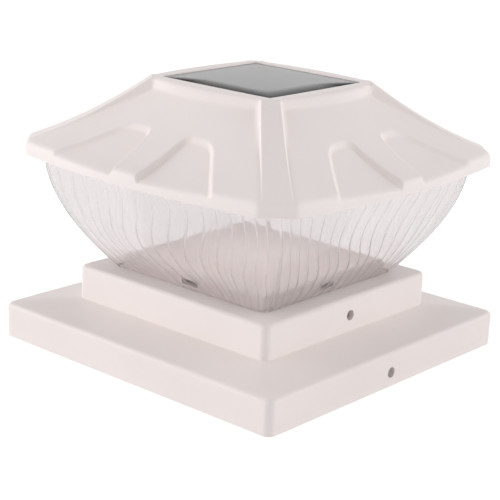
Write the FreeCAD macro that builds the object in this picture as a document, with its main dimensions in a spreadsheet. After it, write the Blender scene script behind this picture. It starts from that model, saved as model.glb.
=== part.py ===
import FreeCAD, Part
import os
import re
import Sketcher
from FreeCAD import Rotation, Vector

# Solar light that caps a square deck post. Millimetres, +Z up. The origin is the centre of the
# bottom edge of the adapter tray. The face with -Y outwards and the face with +X outwards are
# the two that a person walking up to the corner of the deck sees.

SIZES = [
    # adapter tray for a 6x6 post
    ("tray_side", 158.0, "outer width of the adapter tray"),
    ("tray_edge_height", 15.4, "height of the tray's outer wall"),
    ("tray_rise", 3.2, "rise of the sloping roof from the wall to the collar"),
    ("tray_wall", 2.5, "wall of the adapter tray"),
    ("tray_corner", 3.6, "radius of the tray's upright corners"),
    ("tray_edge", 2.0, "radius of the tray's top edge"),
    ("collar_ledge", 0.6, "level strip of the tray round the collar's foot"),
    ("adapter_screw_height", 6.3, "height of the tray's screw holes"),
    ("adapter_screw_radius", 2.4, "radius of the tray's screw holes"),
    ("stop_rib_height", 6.0, "depth of the ribs under the roof that stop the post"),
    ("rib_thickness", 1.8, "thickness of moulded ribs"),
    ("rib_spread", 30.0, "distance of each rib from the middle of its side"),
    ("rib_root", 0.2, "how far a rib runs into the wall that carries it"),
    # upstand on the tray, the size of a 4x4 post
    ("post_side", 101.6, "width of a 4x4 sleeve, copied by the upstand"),
    ("upstand_height", 12.6, "height of the upstand over the tray"),
    ("upstand_wall", 2.2, "wall of the upstand"),
    # collar that grips a 4x4 post or the upstand
    ("collar_side", 111.4, "outer width of the collar"),
    ("collar_height", 15.5, "height of the collar"),
    ("collar_wall", 2.6, "wall of the collar"),
    ("collar_corner", 3.6, "radius of the collar's upright corners"),
    ("collar_edge", 2.0, "radius of the collar's top edge"),
    ("collar_screw_drop", 8.2, "distance of the collar's screw holes below its top"),
    ("collar_screw_radius", 2.35, "radius of the collar's screw holes"),
    ("post_gap", 0.4, "clearance between a post and the ribs that locate it"),
    ("rib_lead_in", 1.0, "how far the locating ribs start above the collar's foot"),
    # floor of the lamp, raised inside the lens
    ("floor_side", 83.0, "width of the raised floor"),
    ("floor_height", 5.9, "height of the raised floor over the collar"),
    ("floor_corner", 1.6, "radius of the raised floor's upright corners"),
    ("floor_edge", 1.3, "radius of the raised floor's top edge"),
    ("catch_width", 9.0, "width of the lens catches"),
    ("catch_height", 1.8, "height of the lens catches"),
    ("catch_foot", 1.0, "height of the catch windows over the collar"),
    ("catch_reach", 1.5, "how far a catch reaches into the floor's wall"),
    ("seat_gap", 0.3, "clearance where one moulding locates another"),
    # lens
    ("lens_foot_side", 90.0, "outer width of the lens at its foot"),
    ("lens_mouth_side", 136.6, "outer width of the lens at its mouth"),
    ("lens_height", 51.3, "height of the lens from foot to flange"),
    ("lens_wall", 2.2, "wall of the lens"),
    ("lens_foot_corner", 3.2, "corner radius at the foot"),
    ("lens_mouth_corner", 6.0, "corner radius at the mouth"),
    ("lens_belly", 1.85, "power of the curve that swells the lens"),
    ("flange_side", 141.0, "outer width of the lens flange"),
    ("flange_thickness", 1.6, "thickness of the lens flange"),
    ("gasket_thickness", 1.1, "thickness of the foam gasket"),
    ("gasket_width", 3.2, "width of the foam gasket"),
    ("corner_share", 0.6, "share of a wall's thickness by which its inner corners are tighter"),
    # hood
    ("rim_mid", 83.3, "half width of the rim at the middle of a side"),
    ("rim_far", 77.2, "half width of the rim where a side meets its chamfer"),
    ("rim_near", 66.9, "half length of a side between its chamfers"),
    ("rim_height", 6.0, "height of the rim's upright face"),
    ("rim_edge", 1.8, "width of the bevel along the rim's top edge"),
    ("rim_edge_rise", 1.1, "rise of that bevel over the rim"),
    ("side_shrink", 0.42, "how much shorter half a side gets for each millimetre it moves in"),
    ("face_rise", 24.2, "rise of the flared faces from rim to panel frame"),
    ("face_flare", 0.41, "how strongly the faces sag between rim and frame"),
    ("corner_lag", 0.2, "how much the faces' corners lag behind their middles on the way up"),
    ("frame_mid", 41.8, "half width of the frame's foot at the middle of a side"),
    ("frame_far", 37.2, "half width of the frame's foot at its chamfer"),
    ("frame_near", 31.0, "half length of the frame's side between chamfers"),
    ("frame_height", 4.7, "height of the panel frame over the faces"),
    ("frame_draft", 2.9, "how far the frame leans in over its height"),
    ("frame_draft_far", 1.2, "how far it leans in at its chamfers"),
    ("frame_draft_near", 0.3, "how much shorter half its side gets over its height"),
    ("ridge_top_width", 8.0, "width of a corner ridge at the frame"),
    ("ridge_rim_width", 12.0, "width of a corner ridge at the rim"),
    ("ridge_flare", 0.32, "how strongly the ridges sag between rim and frame"),
    ("ridge_draft", 1.4, "how far each side of a ridge spreads to its root"),
    ("ridge_depth", 7.0, "depth of the ridge's root under its top"),
    ("recess_depth", 2.8, "depth of the recessed panels"),
    ("recess_near", 6.6, "distance of a recess from the middle of its side, at the rim"),
    ("recess_far", 48.6, "distance of a recess's far edge, at the rim"),
    ("recess_top_near", 9.6, "distance of a recess from the middle, at its top"),
    ("recess_top_far", 24.4, "distance of a recess's far edge, at its top"),
    ("recess_top", 56.6, "distance of a recess's top edge from the post's axis"),
    ("recess_corner", 4.0, "radius of a recess's top corners"),
    ("recess_run_out", 8.0, "how far the tool for the recesses runs out past the rim"),
    ("hood_wall", 2.5, "wall of the hood at the rim"),
    ("hood_roof", 3.0, "wall of the hood measured upright"),
    # solar panel
    ("opening_side", 62.6, "width of the opening for the solar panel"),
    ("panel_pocket", 4.7, "depth of the pocket for the solar panel"),
    ("panel_gap", 0.3, "gap round the solar panel"),
    ("sealant_thickness", 0.5, "bead of sealant under the panel"),
    ("sealant_width", 4.0, "width of the bead of sealant"),
    ("panel_board_thickness", 1.6, "thickness of the panel's board"),
    ("cell_thickness", 0.3, "thickness of the solar cells"),
    ("cell_margin", 2.2, "bare border round the cells"),
    ("cell_gap", 0.6, "gap between cells"),
    ("cell_clearance", 0.1, "room round the cells in the cover's bed"),
    ("cover_thickness", 1.4, "thickness of the panel's clear cover"),
    ("wire_hole_width", 9.0, "width of the hole for the panel's leads"),
    ("wire_hole_depth", 5.0, "depth of the hole for the panel's leads"),
    # reflector pan that closes the hood from below
    ("pan_side", 140.0, "width of the reflector pan"),
    ("pan_thickness", 1.6, "thickness of the reflector pan"),
    ("pan_corner", 7.0, "corner radius of the reflector pan"),
    ("skirt_depth", 3.0, "depth of the skirt that centres the pan in the lens"),
    ("skirt_wall", 1.6, "wall of the skirt"),
    ("skirt_gap", 0.7, "clearance between the skirt and the lens"),
    ("boss_place", 53.0, "distance of the hood's bosses from both middle planes"),
    ("boss_radius", 4.0, "radius of the hood's bosses"),
    ("boss_height", 9.0, "height of the hood's bosses"),
    ("boss_end", 1.5, "solid end of a boss over its pilot hole"),
    ("post_radius", 3.2, "radius of the pan's screw posts"),
    ("post_end", 1.0, "solid end of a post over its pilot hole"),
    ("screw_radius", 1.4, "radius of the small screws"),
    ("screw_head_radius", 2.8, "radius of the small screws' heads"),
    ("screw_head_height", 1.9, "height of the small screws' heads"),
    ("thread_gap", 0.05, "clearance between a screw and its pilot hole"),
    ("screw_end_gap", 1.0, "room left in a pilot hole beyond the screw"),
    # light board and its cover
    ("light_board_side", 40.0, "width of the light board"),
    ("board_thickness", 1.6, "thickness of both circuit boards"),
    ("led_side", 3.4, "width of a light emitting diode"),
    ("led_height", 1.6, "height of a light emitting diode"),
    ("led_ring", 14.0, "distance of the rows of diodes from the middle"),
    ("diffuser_side", 46.0, "width of the diffuser"),
    ("diffuser_depth", 11.0, "depth of the diffuser"),
    ("diffuser_wall", 1.5, "wall of the diffuser"),
    ("diffuser_flange", 2.6, "width of the diffuser's flange"),
    ("diffuser_edge", 2.1, "radius of the diffuser's lower edge"),
    # battery and its compartment
    ("battery_radius", 7.1, "radius of the rechargeable cell"),
    ("battery_length", 50.0, "length of the rechargeable cell without its nub"),
    ("nub_radius", 2.6, "radius of the cell's nub"),
    ("nub_height", 1.2, "height of the cell's nub"),
    ("battery_place", 37.4, "distance of the cell from the middle, along Y"),
    ("battery_gap", 0.5, "clearance round the cell"),
    ("spring_length", 3.4, "length of the squeezed spring contact"),
    ("spring_foot_radius", 5.0, "radius of the spring's first turn"),
    ("spring_tip_radius", 3.2, "radius of the spring's last turn"),
    ("spring_bore", 2.3, "clear radius inside the spring"),
    ("contact_thickness", 0.5, "thickness of the contact plates"),
    ("door_thickness", 1.5, "thickness of the battery door"),
    ("door_lap", 8.0, "how far the door reaches past the cell's compartment"),
    ("door_edge", 1.4, "how far the door's long sides lap the pan"),
    ("door_boss_height", 7.0, "height of the posts for the door's screws"),
    ("door_rail_place", 15.0, "distance of the door's rails from its middle"),
    # control board
    ("control_length", 44.0, "length of the control board"),
    ("control_width", 22.0, "width of the control board"),
    ("control_height", 5.6, "height of the board over the pan"),
    ("control_place", -9.0, "place of the board's middle, along Y"),
    ("control_boss_place", 18.5, "distance of the board's screws from the middle"),
    ("lead_radius", 0.7, "radius of the insulated leads"),
    ("lead_spread", 1.8, "distance of each lead from the middle"),
    ("lead_gap", 0.5, "clearance round a pair of leads"),
    ("part_side", 9.0, "distance of the board's tall parts from its middle, along X"),
    ("part_back", 5.0, "distance of the board's tall parts from its middle, along Y"),
    ("chip_length", 5.0, "length of the charging chip"),
    ("chip_width", 4.0, "width of the charging chip"),
    ("chip_height", 1.6, "height of the charging chip"),
    ("coil_side", 6.0, "width of the boost coil"),
    ("coil_height", 3.0, "height of the boost coil"),
    ("can_radius", 2.5, "radius of the smoothing capacitor"),
    ("can_height", 6.0, "height of the smoothing capacitor"),
    ("diode_length", 4.5, "length of the blocking diode"),
    ("diode_width", 2.6, "width of the blocking diode"),
    ("diode_height", 2.1, "height of the blocking diode"),
    # switch
    ("switch_place", -38.0, "place of the switch, along Y"),
    ("switch_length", 12.0, "length of the switch"),
    ("switch_width", 7.0, "width of the switch"),
    ("switch_height", 4.6, "height of the switch"),
    ("switch_travel", 4.0, "travel of the switch's slider"),
    ("knob_length", 2.8, "length of the slider's knob"),
    ("knob_width", 2.4, "width of the slider's knob"),
    ("knob_reach", 1.9, "how far the knob stands out of the pan"),
    ("slider_lap", 1.0, "how far the slider's foot laps the knob all round"),
    ("slider_foot", 1.4, "height of the slider's foot"),
    ("slider_gap", 0.3, "clearance round the slider"),
    # tools that only cut
    ("cut_margin", 1.0, "how far a small cutting tool runs past what it cuts"),
    ("tool_reach", 20.0, "how far the hood's cutting tools run past it, up and down"),
]

# Levels and half widths that follow from the sizes.
RULES = {
    "collar_foot": "tray_edge_height + tray_rise",
    "collar_top": "collar_foot + collar_height",
    "floor_top": "collar_top + floor_height",
    "collar_screw_height": "collar_top - collar_screw_drop",
    "lens_top": "collar_top + lens_height",
    "flange_top": "lens_top + flange_thickness",
    "pan_foot": "flange_top + gasket_thickness",
    "pan_top": "pan_foot + pan_thickness",
    "rim_foot": "lens_top",
    "rim_top": "rim_foot + rim_height",
    "frame_foot": "rim_top + face_rise",
    "frame_top": "frame_foot + frame_height",
    "pocket_floor": "frame_top - panel_pocket",
    "panel_side": "opening_side - 2 * panel_gap",
    "panel_foot": "pocket_floor + sealant_thickness",
    "cell_foot": "panel_foot + panel_board_thickness",
    "cover_foot": "cell_foot + cell_thickness",
    "cell_room": "panel_side - 2 * cell_margin",
    "battery_room": "battery_length + nub_height + spring_length + 2 * contact_thickness",
    "battery_axis": "pan_top + battery_gap + battery_radius",
    "battery_end": "battery_room / 2 - contact_thickness - nub_height",
    "box_width": "2 * (battery_radius + battery_gap)",
    "door_screw_place": "battery_room / 2 + pan_thickness + post_radius",
    "control_foot": "pan_top + control_height",
    "control_top": "control_foot + board_thickness",
    "light_board_foot": "pan_foot - board_thickness",
    "pilot_radius": "screw_radius + thread_gap",
    "slot_length": "switch_travel + knob_length + 2 * slider_gap",
    "slot_width": "knob_width + 2 * slider_gap",
    "foot_length": "knob_length + 2 * slider_lap",
    "foot_width": "knob_width + 2 * slider_lap",
}

FLARE_STEPS = 5
RIDGE_START = -0.04     # the ridges are lofted from before the rim to beyond the frame
RIDGE_END = 1.12
FAR_OUT, FAR_DOWN, FAR_IN = 0.4, 0.5, 0.8   # ends of a recess's far arc, in its radius
NEAR_OUT = 0.05                             # lean of its near side over the near arc
LENS_STEPS = 6
QUARTER_TURNS = (0, 90, 180, 270)
CORNERS = ((1, 1), (-1, 1), (-1, -1), (1, -1))
CELL_COUNT = 4
LEDS_PER_ROW = 3

doc = FreeCAD.newDocument("deck_post_cap_light")
sheet = doc.addObject("Spreadsheet::Sheet", "sizes")
NODES = []


# ---------------------------------------------------------------- sizes and expressions

def fill_sheet():
    for row, (alias, value, meaning) in enumerate(SIZES, start=1):
        sheet.set(f"A{row}", meaning)
        sheet.set(f"B{row}", str(value))
        sheet.setAlias(f"B{row}", alias)
    doc.recompute()


SIZE_NAMES = {alias for alias, _, _ in SIZES}


def spell(text):
    """Write a rule out in the sheet's own names, each with the sheet in front."""
    def one(match):
        name = match.group(0)
        if name in RULES:
            return "(" + spell(RULES[name]) + ")"
        if name in SIZE_NAMES:
            return "sizes." + name
        return name
    return re.sub(r"[a-z_]+", one, str(text))


def size(text):
    """The value of a rule, for the first guess of a sketch."""
    return float(sheet.evalExpression(spell(text).replace("sizes.", "")))


def bind(thing, **rules):
    """Bind properties to rules; a double underscore stands for a dot."""
    for name, rule in rules.items():
        thing.setExpression(name.replace("__", "."), spell(rule))
    return thing


# ---------------------------------------------------------------- sketches

def pin_point(sketch, geometry, end, x, y):
    first = sketch.ConstraintCount
    sketch.addConstraint(Sketcher.Constraint("DistanceX", -1, 1, geometry, end, size(x)))
    sketch.addConstraint(Sketcher.Constraint("DistanceY", -1, 1, geometry, end, size(y)))
    sketch.setExpression(f"Constraints[{first}]", spell(x))
    sketch.setExpression(f"Constraints[{first + 1}]", spell(y))


def outline(sketch, points):
    """Closed outline, counter-clockwise. Each point is (x, y, radius of the arc that leaves it
    or None); an arc bulges outwards."""
    places = [Vector(size(x), size(y), 0) for x, y, _ in points]
    edges = []
    for i, (_, _, radius) in enumerate(points):
        start, end = places[i], places[(i + 1) % len(points)]
        if radius is None:
            edge = Part.LineSegment(start, end)
        else:
            chord = end - start
            reach = size(radius)
            sagitta = reach - max(reach ** 2 - (chord.Length / 2) ** 2, 0) ** 0.5
            outwards = Vector(chord.y, -chord.x, 0).normalize()
            edge = Part.Arc(start, (start + end) / 2 + outwards * sagitta, end)
        edges.append(sketch.addGeometry(edge))
    ends = [(edge, 1, 2) for edge in edges]
    for i, (_, _, radius) in enumerate(points):
        if radius is not None:
            # an arc drawn clockwise is stored turned round, so its ends trade places
            arc = sketch.Geometry[edges[i]]
            if (arc.StartPoint - places[i]).Length > (arc.EndPoint - places[i]).Length:
                ends[i] = (edges[i], 2, 1)
    for i, (x, y, radius) in enumerate(points):
        edge, begin, finish = ends[i]
        following, next_begin, _ = ends[(i + 1) % len(points)]
        sketch.addConstraint(
            Sketcher.Constraint("Coincident", edge, finish, following, next_begin))
        pin_point(sketch, edge, begin, x, y)
    for i, (_, _, radius) in enumerate(points):
        if radius is not None:
            number = sketch.ConstraintCount
            sketch.addConstraint(Sketcher.Constraint("Radius", edges[i], size(radius)))
            sketch.setExpression(f"Constraints[{number}]", spell(radius))
    return sketch


def circle(sketch, x, y, radius):
    ring = sketch.addGeometry(
        Part.Circle(Vector(size(x), size(y), 0), Vector(0, 0, 1), size(radius)))
    pin_point(sketch, ring, 3, x, y)
    number = sketch.ConstraintCount
    sketch.addConstraint(Sketcher.Constraint("Radius", ring, size(radius)))
    sketch.setExpression(f"Constraints[{number}]", spell(radius))
    return sketch


def rectangle(sketch, left, right, bottom, top):
    corners = ((left, bottom), (right, bottom), (right, top), (left, top))
    return outline(sketch, [(x, y, None) for x, y in corners])


def rounded_square(sketch, half, radius):
    flat = f"({half}) - ({radius})"
    return outline(sketch, [
        (half, f"-({flat})", None), (half, flat, radius),
        (flat, half, None), (f"-({flat})", half, radius),
        (f"-({half})", flat, None), (f"-({half})", f"-({flat})", radius),
        (f"-({flat})", f"-({half})", None), (flat, f"-({half})", radius)])


def bowed_octagon(sketch, mid, far, near):
    """Square whose four sides bow outwards and whose corners are cut straight."""
    bow = f"(({mid} - ({far})) ^ 2 + ({near}) ^ 2) / (2 * ({mid} - ({far})))"
    return outline(sketch, [
        (far, f"-({near})", bow), (far, near, None),
        (near, far, bow), (f"-({near})", far, None),
        (f"-({far})", near, bow), (f"-({far})", f"-({near})", None),
        (f"-({near})", f"-({far})", bow), (near, f"-({far})", None)])


# ---------------------------------------------------------------- PartDesign steps

def new_body(label):
    body = doc.addObject("PartDesign::Body", label)
    body.Label = label
    return body


def sketch_on(body, name, role="XY_Plane", level="0"):
    sketch = body.newObject("Sketcher::SketchObject", name)
    plane = next(f for f in body.Origin.OriginFeatures if f.Role == role)
    sketch.AttachmentSupport = [(plane, "")]
    sketch.MapMode = "FlatFace"
    return bind(sketch, AttachmentOffset__Base__z=level)


def pad(body, sketch, length, reverse=False):
    feature = body.newObject("PartDesign::Pad", sketch.Name + "_pad")
    feature.Profile = sketch
    feature.Reversed = reverse
    bind(feature, Length=length)
    doc.recompute()
    return feature


def pocket(body, sketch, length, reverse=True):
    """Cut upwards from the sketch, or downwards with reverse off."""
    before = body.Tip.Shape.Volume
    feature = body.newObject("PartDesign::Pocket", sketch.Name + "_pocket")
    feature.Profile = sketch
    feature.Reversed = reverse
    bind(feature, Length=length)
    doc.recompute()
    if feature.Shape.Volume >= before:
        raise RuntimeError(f"{feature.Name} cuts nothing")
    return feature


def drill_through(body, sketch):
    """Cut right through the body, to both sides of the sketch."""
    before = body.Tip.Shape.Volume
    feature = body.newObject("PartDesign::Pocket", sketch.Name + "_pocket")
    feature.Profile = sketch
    feature.Type = "ThroughAll"
    feature.Midplane = True
    doc.recompute()
    if feature.Shape.Volume >= before:
        raise RuntimeError(f"{feature.Name} cuts nothing")
    return feature


def body_loft(body, kind, sketches, ruled=False):
    feature = body.newObject(f"PartDesign::{kind}", sketches[0].Name + "_loft")
    feature.Profile = sketches[0]
    feature.Sections = sketches[1:]
    feature.Ruled = ruled
    doc.recompute()
    return feature


def four_times(body, features):
    """Repeat features on all four sides."""
    feature = body.newObject("PartDesign::PolarPattern", features[-1].Name + "_turned")
    feature.Originals = features
    axis = next(f for f in body.Origin.OriginFeatures if f.Role == "Z_Axis")
    feature.Axis = (axis, [""])
    feature.Angle = 360
    feature.Occurrences = len(QUARTER_TURNS)
    body.Tip = feature
    doc.recompute()
    return feature


def round_edges(body, radius, level, least_reach):
    """Round the level edges at a height that lie further out than least_reach."""
    base = body.Tip
    names = []
    for number, edge in enumerate(base.Shape.Edges, start=1):
        box = edge.BoundBox
        reach = max(abs(box.XMin), abs(box.XMax), abs(box.YMin), abs(box.YMax))
        if box.ZLength < 0.01 and abs(box.ZMin - size(level)) < 0.01 and reach > size(least_reach):
            names.append(f"Edge{number}")
    feature = body.newObject("PartDesign::Fillet", body.Label + f"_round_{len(body.Group)}")
    feature.Base = (base, names)
    bind(feature, Radius=radius)
    doc.recompute()
    return feature


# ---------------------------------------------------------------- Part objects

def box(name, length, width, height, x="0", y="0", z="0"):
    """Block centred on x and y, with its foot at z."""
    block = doc.addObject("Part::Box", name)
    return bind(block, Length=length, Width=width, Height=height,
                Placement__Base__x=f"({x}) - ({length}) / 2",
                Placement__Base__y=f"({y}) - ({width}) / 2",
                Placement__Base__z=z)


def rod(name, radius, height, x="0", y="0", z="0"):
    bar = doc.addObject("Part::Cylinder", name)
    return bind(bar, Radius=radius, Height=height, Placement__Base__x=x,
                Placement__Base__y=y, Placement__Base__z=z)


def join(name, pieces):
    fusion = doc.addObject("Part::MultiFuse", name)
    fusion.Shapes = pieces
    fusion.Refine = True
    doc.recompute()
    return fusion


def cut(name, base, tool):
    difference = doc.addObject("Part::Cut", name)
    difference.Base = base
    difference.Tool = tool
    difference.Refine = True
    doc.recompute()
    if difference.Shape.Volume >= base.Shape.Volume:
        raise RuntimeError(f"{name} cuts nothing")
    return difference


def group(name, pieces):
    compound = doc.addObject("Part::Compound", name)
    compound.Links = pieces
    doc.recompute()
    return compound


def free_sketch(name, level):
    return bind(doc.addObject("Sketcher::SketchObject", name), Placement__Base__z=level)


def solid_loft(name, sketches, ruled=False):
    loft = doc.addObject("Part::Loft", name)
    loft.Sections = sketches
    loft.Solid = True
    loft.Ruled = ruled
    doc.recompute()
    return loft


def prism(name, sketch, height):
    block = doc.addObject("Part::Extrusion", name)
    block.Base = sketch
    block.DirMode = "Custom"
    block.Dir = Vector(0, 0, 1)
    block.Solid = True
    bind(block, LengthFwd=height)
    doc.recompute()
    return block


def node(label, thing):
    thing.Label = label
    NODES.append(thing)
    return thing


# ---------------------------------------------------------------- adapter tray

def make_tray():
    body = new_body("post_adapter_tray")
    half = "tray_side / 2"
    inner = "tray_side / 2 - tray_wall"
    inner_corner = "tray_corner - tray_wall"
    wall = rounded_square(sketch_on(body, "tray_wall_plan"), half, "tray_corner")
    pad(body, wall, "tray_edge_height")
    eaves = rounded_square(
        sketch_on(body, "tray_eaves", level="tray_edge_height"), half, "tray_corner")
    crown = rounded_square(
        sketch_on(body, "tray_crown", level="collar_foot"),
        "collar_side / 2 + collar_ledge", "tray_corner")
    body_loft(body, "AdditiveLoft", [eaves, crown], ruled=True)
    round_edges(body, "tray_edge", "tray_edge_height", "tray_side / 2 - tray_edge")
    hollow = rounded_square(sketch_on(body, "tray_hollow"), inner, inner_corner)
    pocket(body, hollow, "tray_edge_height - tray_wall")
    low = rounded_square(
        sketch_on(body, "tray_roof_low", level="tray_edge_height - tray_wall"),
        inner, inner_corner)
    high = rounded_square(
        sketch_on(body, "tray_roof_high", level="collar_foot - tray_wall"),
        "collar_side / 2", inner_corner)
    body_loft(body, "SubtractiveLoft", [low, high], ruled=True)
    upstand = rounded_square(
        sketch_on(body, "upstand_plan", level="collar_foot"), "post_side / 2", "upstand_wall")
    pad(body, upstand, "upstand_height")
    round_edges(body, "upstand_wall / 2", "collar_foot + upstand_height",
                "post_side / 2 - upstand_wall")
    shaft = rounded_square(
        sketch_on(body, "upstand_shaft"), "post_side / 2 - upstand_wall", "upstand_wall / 2")
    pocket(body, shaft, "collar_foot + upstand_height + cut_margin")
    rib = sketch_on(body, "stop_rib", level="tray_edge_height - stop_rib_height")
    rectangle(rib, "rib_spread - rib_thickness / 2", "rib_spread + rib_thickness / 2",
              "post_side / 2 - upstand_wall", "tray_side / 2 - tray_wall + rib_root")
    first = pad(body, rib, "stop_rib_height - rib_root")
    mirror_rib = sketch_on(body, "stop_rib_far", level="tray_edge_height - stop_rib_height")
    rectangle(mirror_rib, "-rib_spread - rib_thickness / 2", "-rib_spread + rib_thickness / 2",
              "post_side / 2 - upstand_wall", "tray_side / 2 - tray_wall + rib_root")
    second = pad(body, mirror_rib, "stop_rib_height - rib_root")
    four_times(body, [first, second])
    drill_through(body, circle(
        sketch_on(body, "adapter_screw", "YZ_Plane"),
        "0", "adapter_screw_height", "adapter_screw_radius"))
    drill_through(body, circle(
        sketch_on(body, "upstand_screw", "YZ_Plane"),
        "0", "collar_screw_height", "collar_screw_radius"))
    node("post_adapter_tray", body)


# ---------------------------------------------------------------- collar and floor

def make_collar():
    body = new_body("post_collar")
    half = "collar_side / 2"
    wall = rounded_square(
        sketch_on(body, "collar_plan", level="collar_foot"), half, "collar_corner")
    pad(body, wall, "collar_height")
    round_edges(body, "collar_edge", "collar_top", "collar_side / 2 - collar_edge")
    floor = rounded_square(
        sketch_on(body, "floor_plan", level="collar_top"), "floor_side / 2", "floor_corner")
    pad(body, floor, "floor_height")
    round_edges(body, "floor_edge", "floor_top", "floor_side / 2 - floor_corner")
    socket = rounded_square(
        sketch_on(body, "collar_socket", level="collar_foot"),
        "collar_side / 2 - collar_wall", "collar_corner - collar_wall")
    pocket(body, socket, "collar_height - collar_wall")
    hollow = rounded_square(
        sketch_on(body, "floor_hollow", level="collar_foot"),
        "floor_side / 2 - collar_wall", "floor_corner")
    pocket(body, hollow, "collar_height + floor_height - collar_wall")
    ribs = []
    for side, name in ((1, "locating_rib"), (-1, "locating_rib_far")):
        sketch = sketch_on(body, name, level="collar_foot + rib_lead_in")
        rectangle(sketch, f"{side} * rib_spread - rib_thickness / 2",
                  f"{side} * rib_spread + rib_thickness / 2",
                  "post_side / 2 + post_gap", "collar_side / 2 - collar_wall + rib_root")
        ribs.append(pad(body, sketch, "collar_height - collar_wall - rib_lead_in + rib_root"))
    four_times(body, ribs)
    drill_through(body, circle(
        sketch_on(body, "collar_screw", "YZ_Plane"),
        "0", "collar_screw_height", "collar_screw_radius"))
    for role in ("YZ_Plane", "XZ_Plane"):
        window = sketch_on(body, "catch_window_" + role[:2].lower(), role)
        rectangle(window, "-catch_width / 2 - seat_gap", "catch_width / 2 + seat_gap",
                  "collar_top + catch_foot",
                  "collar_top + catch_foot + catch_height + 2 * seat_gap")
        drill_through(body, window)
    node("post_collar", body)


# ---------------------------------------------------------------- lens

def lens_sections(body, name, inset):
    """Plans of the bowl from foot to mouth. Its half width swells fast at first, then slower."""
    sketches = []
    for step in range(LENS_STEPS):
        part_way = step / (LENS_STEPS - 1)
        swell = f"(1 - (1 - {part_way}) ^ lens_belly)"
        half = f"(lens_foot_side + (lens_mouth_side - lens_foot_side) * {swell}) / 2 - {inset}"
        radius = (f"lens_foot_corner + (lens_mouth_corner - lens_foot_corner) * {part_way}"
                  f" - {inset} * corner_share")
        sketch = sketch_on(body, f"{name}_{step}", level=f"collar_top + lens_height * {part_way}")
        sketches.append(rounded_square(sketch, half, radius))
    return sketches


def make_lens():
    body = new_body("lens_shade")
    body_loft(body, "AdditiveLoft", lens_sections(body, "lens_outside", "0"))
    flange = rounded_square(
        sketch_on(body, "lens_flange", level="lens_top"),
        "flange_side / 2", "lens_mouth_corner + (flange_side - lens_mouth_side) / 2")
    pad(body, flange, "flange_thickness")
    body_loft(body, "SubtractiveLoft", lens_sections(body, "lens_inside", "lens_wall"))
    mouth = rounded_square(
        sketch_on(body, "lens_mouth", level="lens_top"),
        "lens_mouth_side / 2 - lens_wall", "lens_mouth_corner - lens_wall * corner_share")
    pocket(body, mouth, "flange_thickness + cut_margin")
    foot = sketch_on(body, "lens_catch", level="collar_top + catch_foot + seat_gap")
    rectangle(foot, "-catch_width / 2", "catch_width / 2",
              "floor_side / 2 - catch_reach", "lens_foot_side / 2")
    four_times(body, [pad(body, foot, "catch_height")])
    node("lens_shade", body)


def make_gasket():
    body = new_body("lens_gasket")
    ring = sketch_on(body, "gasket_plan", level="flange_top")
    rounded_square(ring, "pan_side / 2", "pan_corner")
    pad(body, ring, "gasket_thickness")
    hole = sketch_on(body, "gasket_hole", level="flange_top")
    rounded_square(hole, "pan_side / 2 - gasket_width", "pan_corner - gasket_width * corner_share")
    pocket(body, hole, "gasket_thickness + cut_margin")
    node("lens_gasket", body)


# ---------------------------------------------------------------- hood

def face_sections(prefix, drop):
    """Plans of the four flared faces, from the rim up to the foot of the panel frame."""
    sketches = []
    for step in range(FLARE_STEPS):
        way = step / (FLARE_STEPS - 1)
        sag = way * (1 - way)
        corner_way = f"({way} - corner_lag * {sag})"
        level = f"rim_top + face_rise * ({way} - face_flare * {sag}) - ({drop})"
        mid = f"(rim_mid + (frame_mid - rim_mid) * {way})"
        far = f"(rim_far + (frame_far - rim_far) * {corner_way})"
        near = f"(rim_near + (frame_near - rim_near) * {corner_way})"
        sketch = free_sketch(f"{prefix}_face_{step}", level)
        sketches.append(bowed_octagon(sketch, mid, far, near))
    return sketches


def flared_body(prefix, drop):
    """Solid under the flared faces, with the upright rim below them."""
    faces = face_sections(prefix, drop)
    roof = solid_loft(f"{prefix}_roof", faces)
    rim_plan = free_sketch(f"{prefix}_rim_plan", f"rim_foot - ({drop})")
    bowed_octagon(rim_plan, "rim_mid", "rim_far", "rim_near")
    rim = prism(f"{prefix}_rim", rim_plan, "rim_height")
    return join(f"{prefix}_block", [roof, rim])


def recess_cutter(prefix, grow, drop):
    """Eight upright prisms over the recessed panels, cut off at the panels' floor."""
    body = new_body(f"{prefix}_recess_prisms")
    beyond = "rim_mid + recess_run_out"
    run = "(rim_mid + recess_run_out - recess_top) / (rim_mid - recess_top)"
    near_out = f"(recess_top_near + (recess_near - recess_top_near) * {run}) - {grow}"
    far_out = f"(recess_top_far + (recess_far - recess_top_far) * {run}) + {grow}"
    near_top = f"recess_top_near - {grow}"
    far_top = f"recess_top_far + {grow}"
    top = f"recess_top - {grow}"
    curve = "recess_corner"
    pads = []
    for side in (1, -1):
        sketch = sketch_on(body, f"{prefix}_recess_{'right' if side > 0 else 'left'}",
                           level="rim_foot - tool_reach")
        points = [
            (near_out, f"-({beyond})", None),
            (far_out, f"-({beyond})", None),
            (f"{far_top} + {curve} * {FAR_OUT}", f"-({top} + {curve} * {FAR_DOWN})", curve),
            (f"{far_top} - {curve} * {FAR_IN}", f"-({top})", None),
            (f"{near_top} + {curve}", f"-({top})", curve),
            (f"{near_top} - {curve} * {NEAR_OUT}", f"-({top} + {curve})", None),
        ]
        if side < 0:
            points = mirrored(points)
        pads.append(pad(body, outline(sketch, points),
                        "frame_top - rim_foot + 2 * tool_reach"))
    four_times(body, pads)
    floor = flared_body(f"{prefix}_floor", drop)
    return cut(f"{prefix}_recesses", body, floor)


def mirrored(points):
    """The same outline on the other side of the YZ plane, still counter-clockwise."""
    turned = []
    count = len(points)
    for i in range(count - 1, -1, -1):
        x, y, _ = points[i]
        arc = points[i - 1][2]
        turned.append((f"-({x})", y, arc))
    return turned


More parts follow.
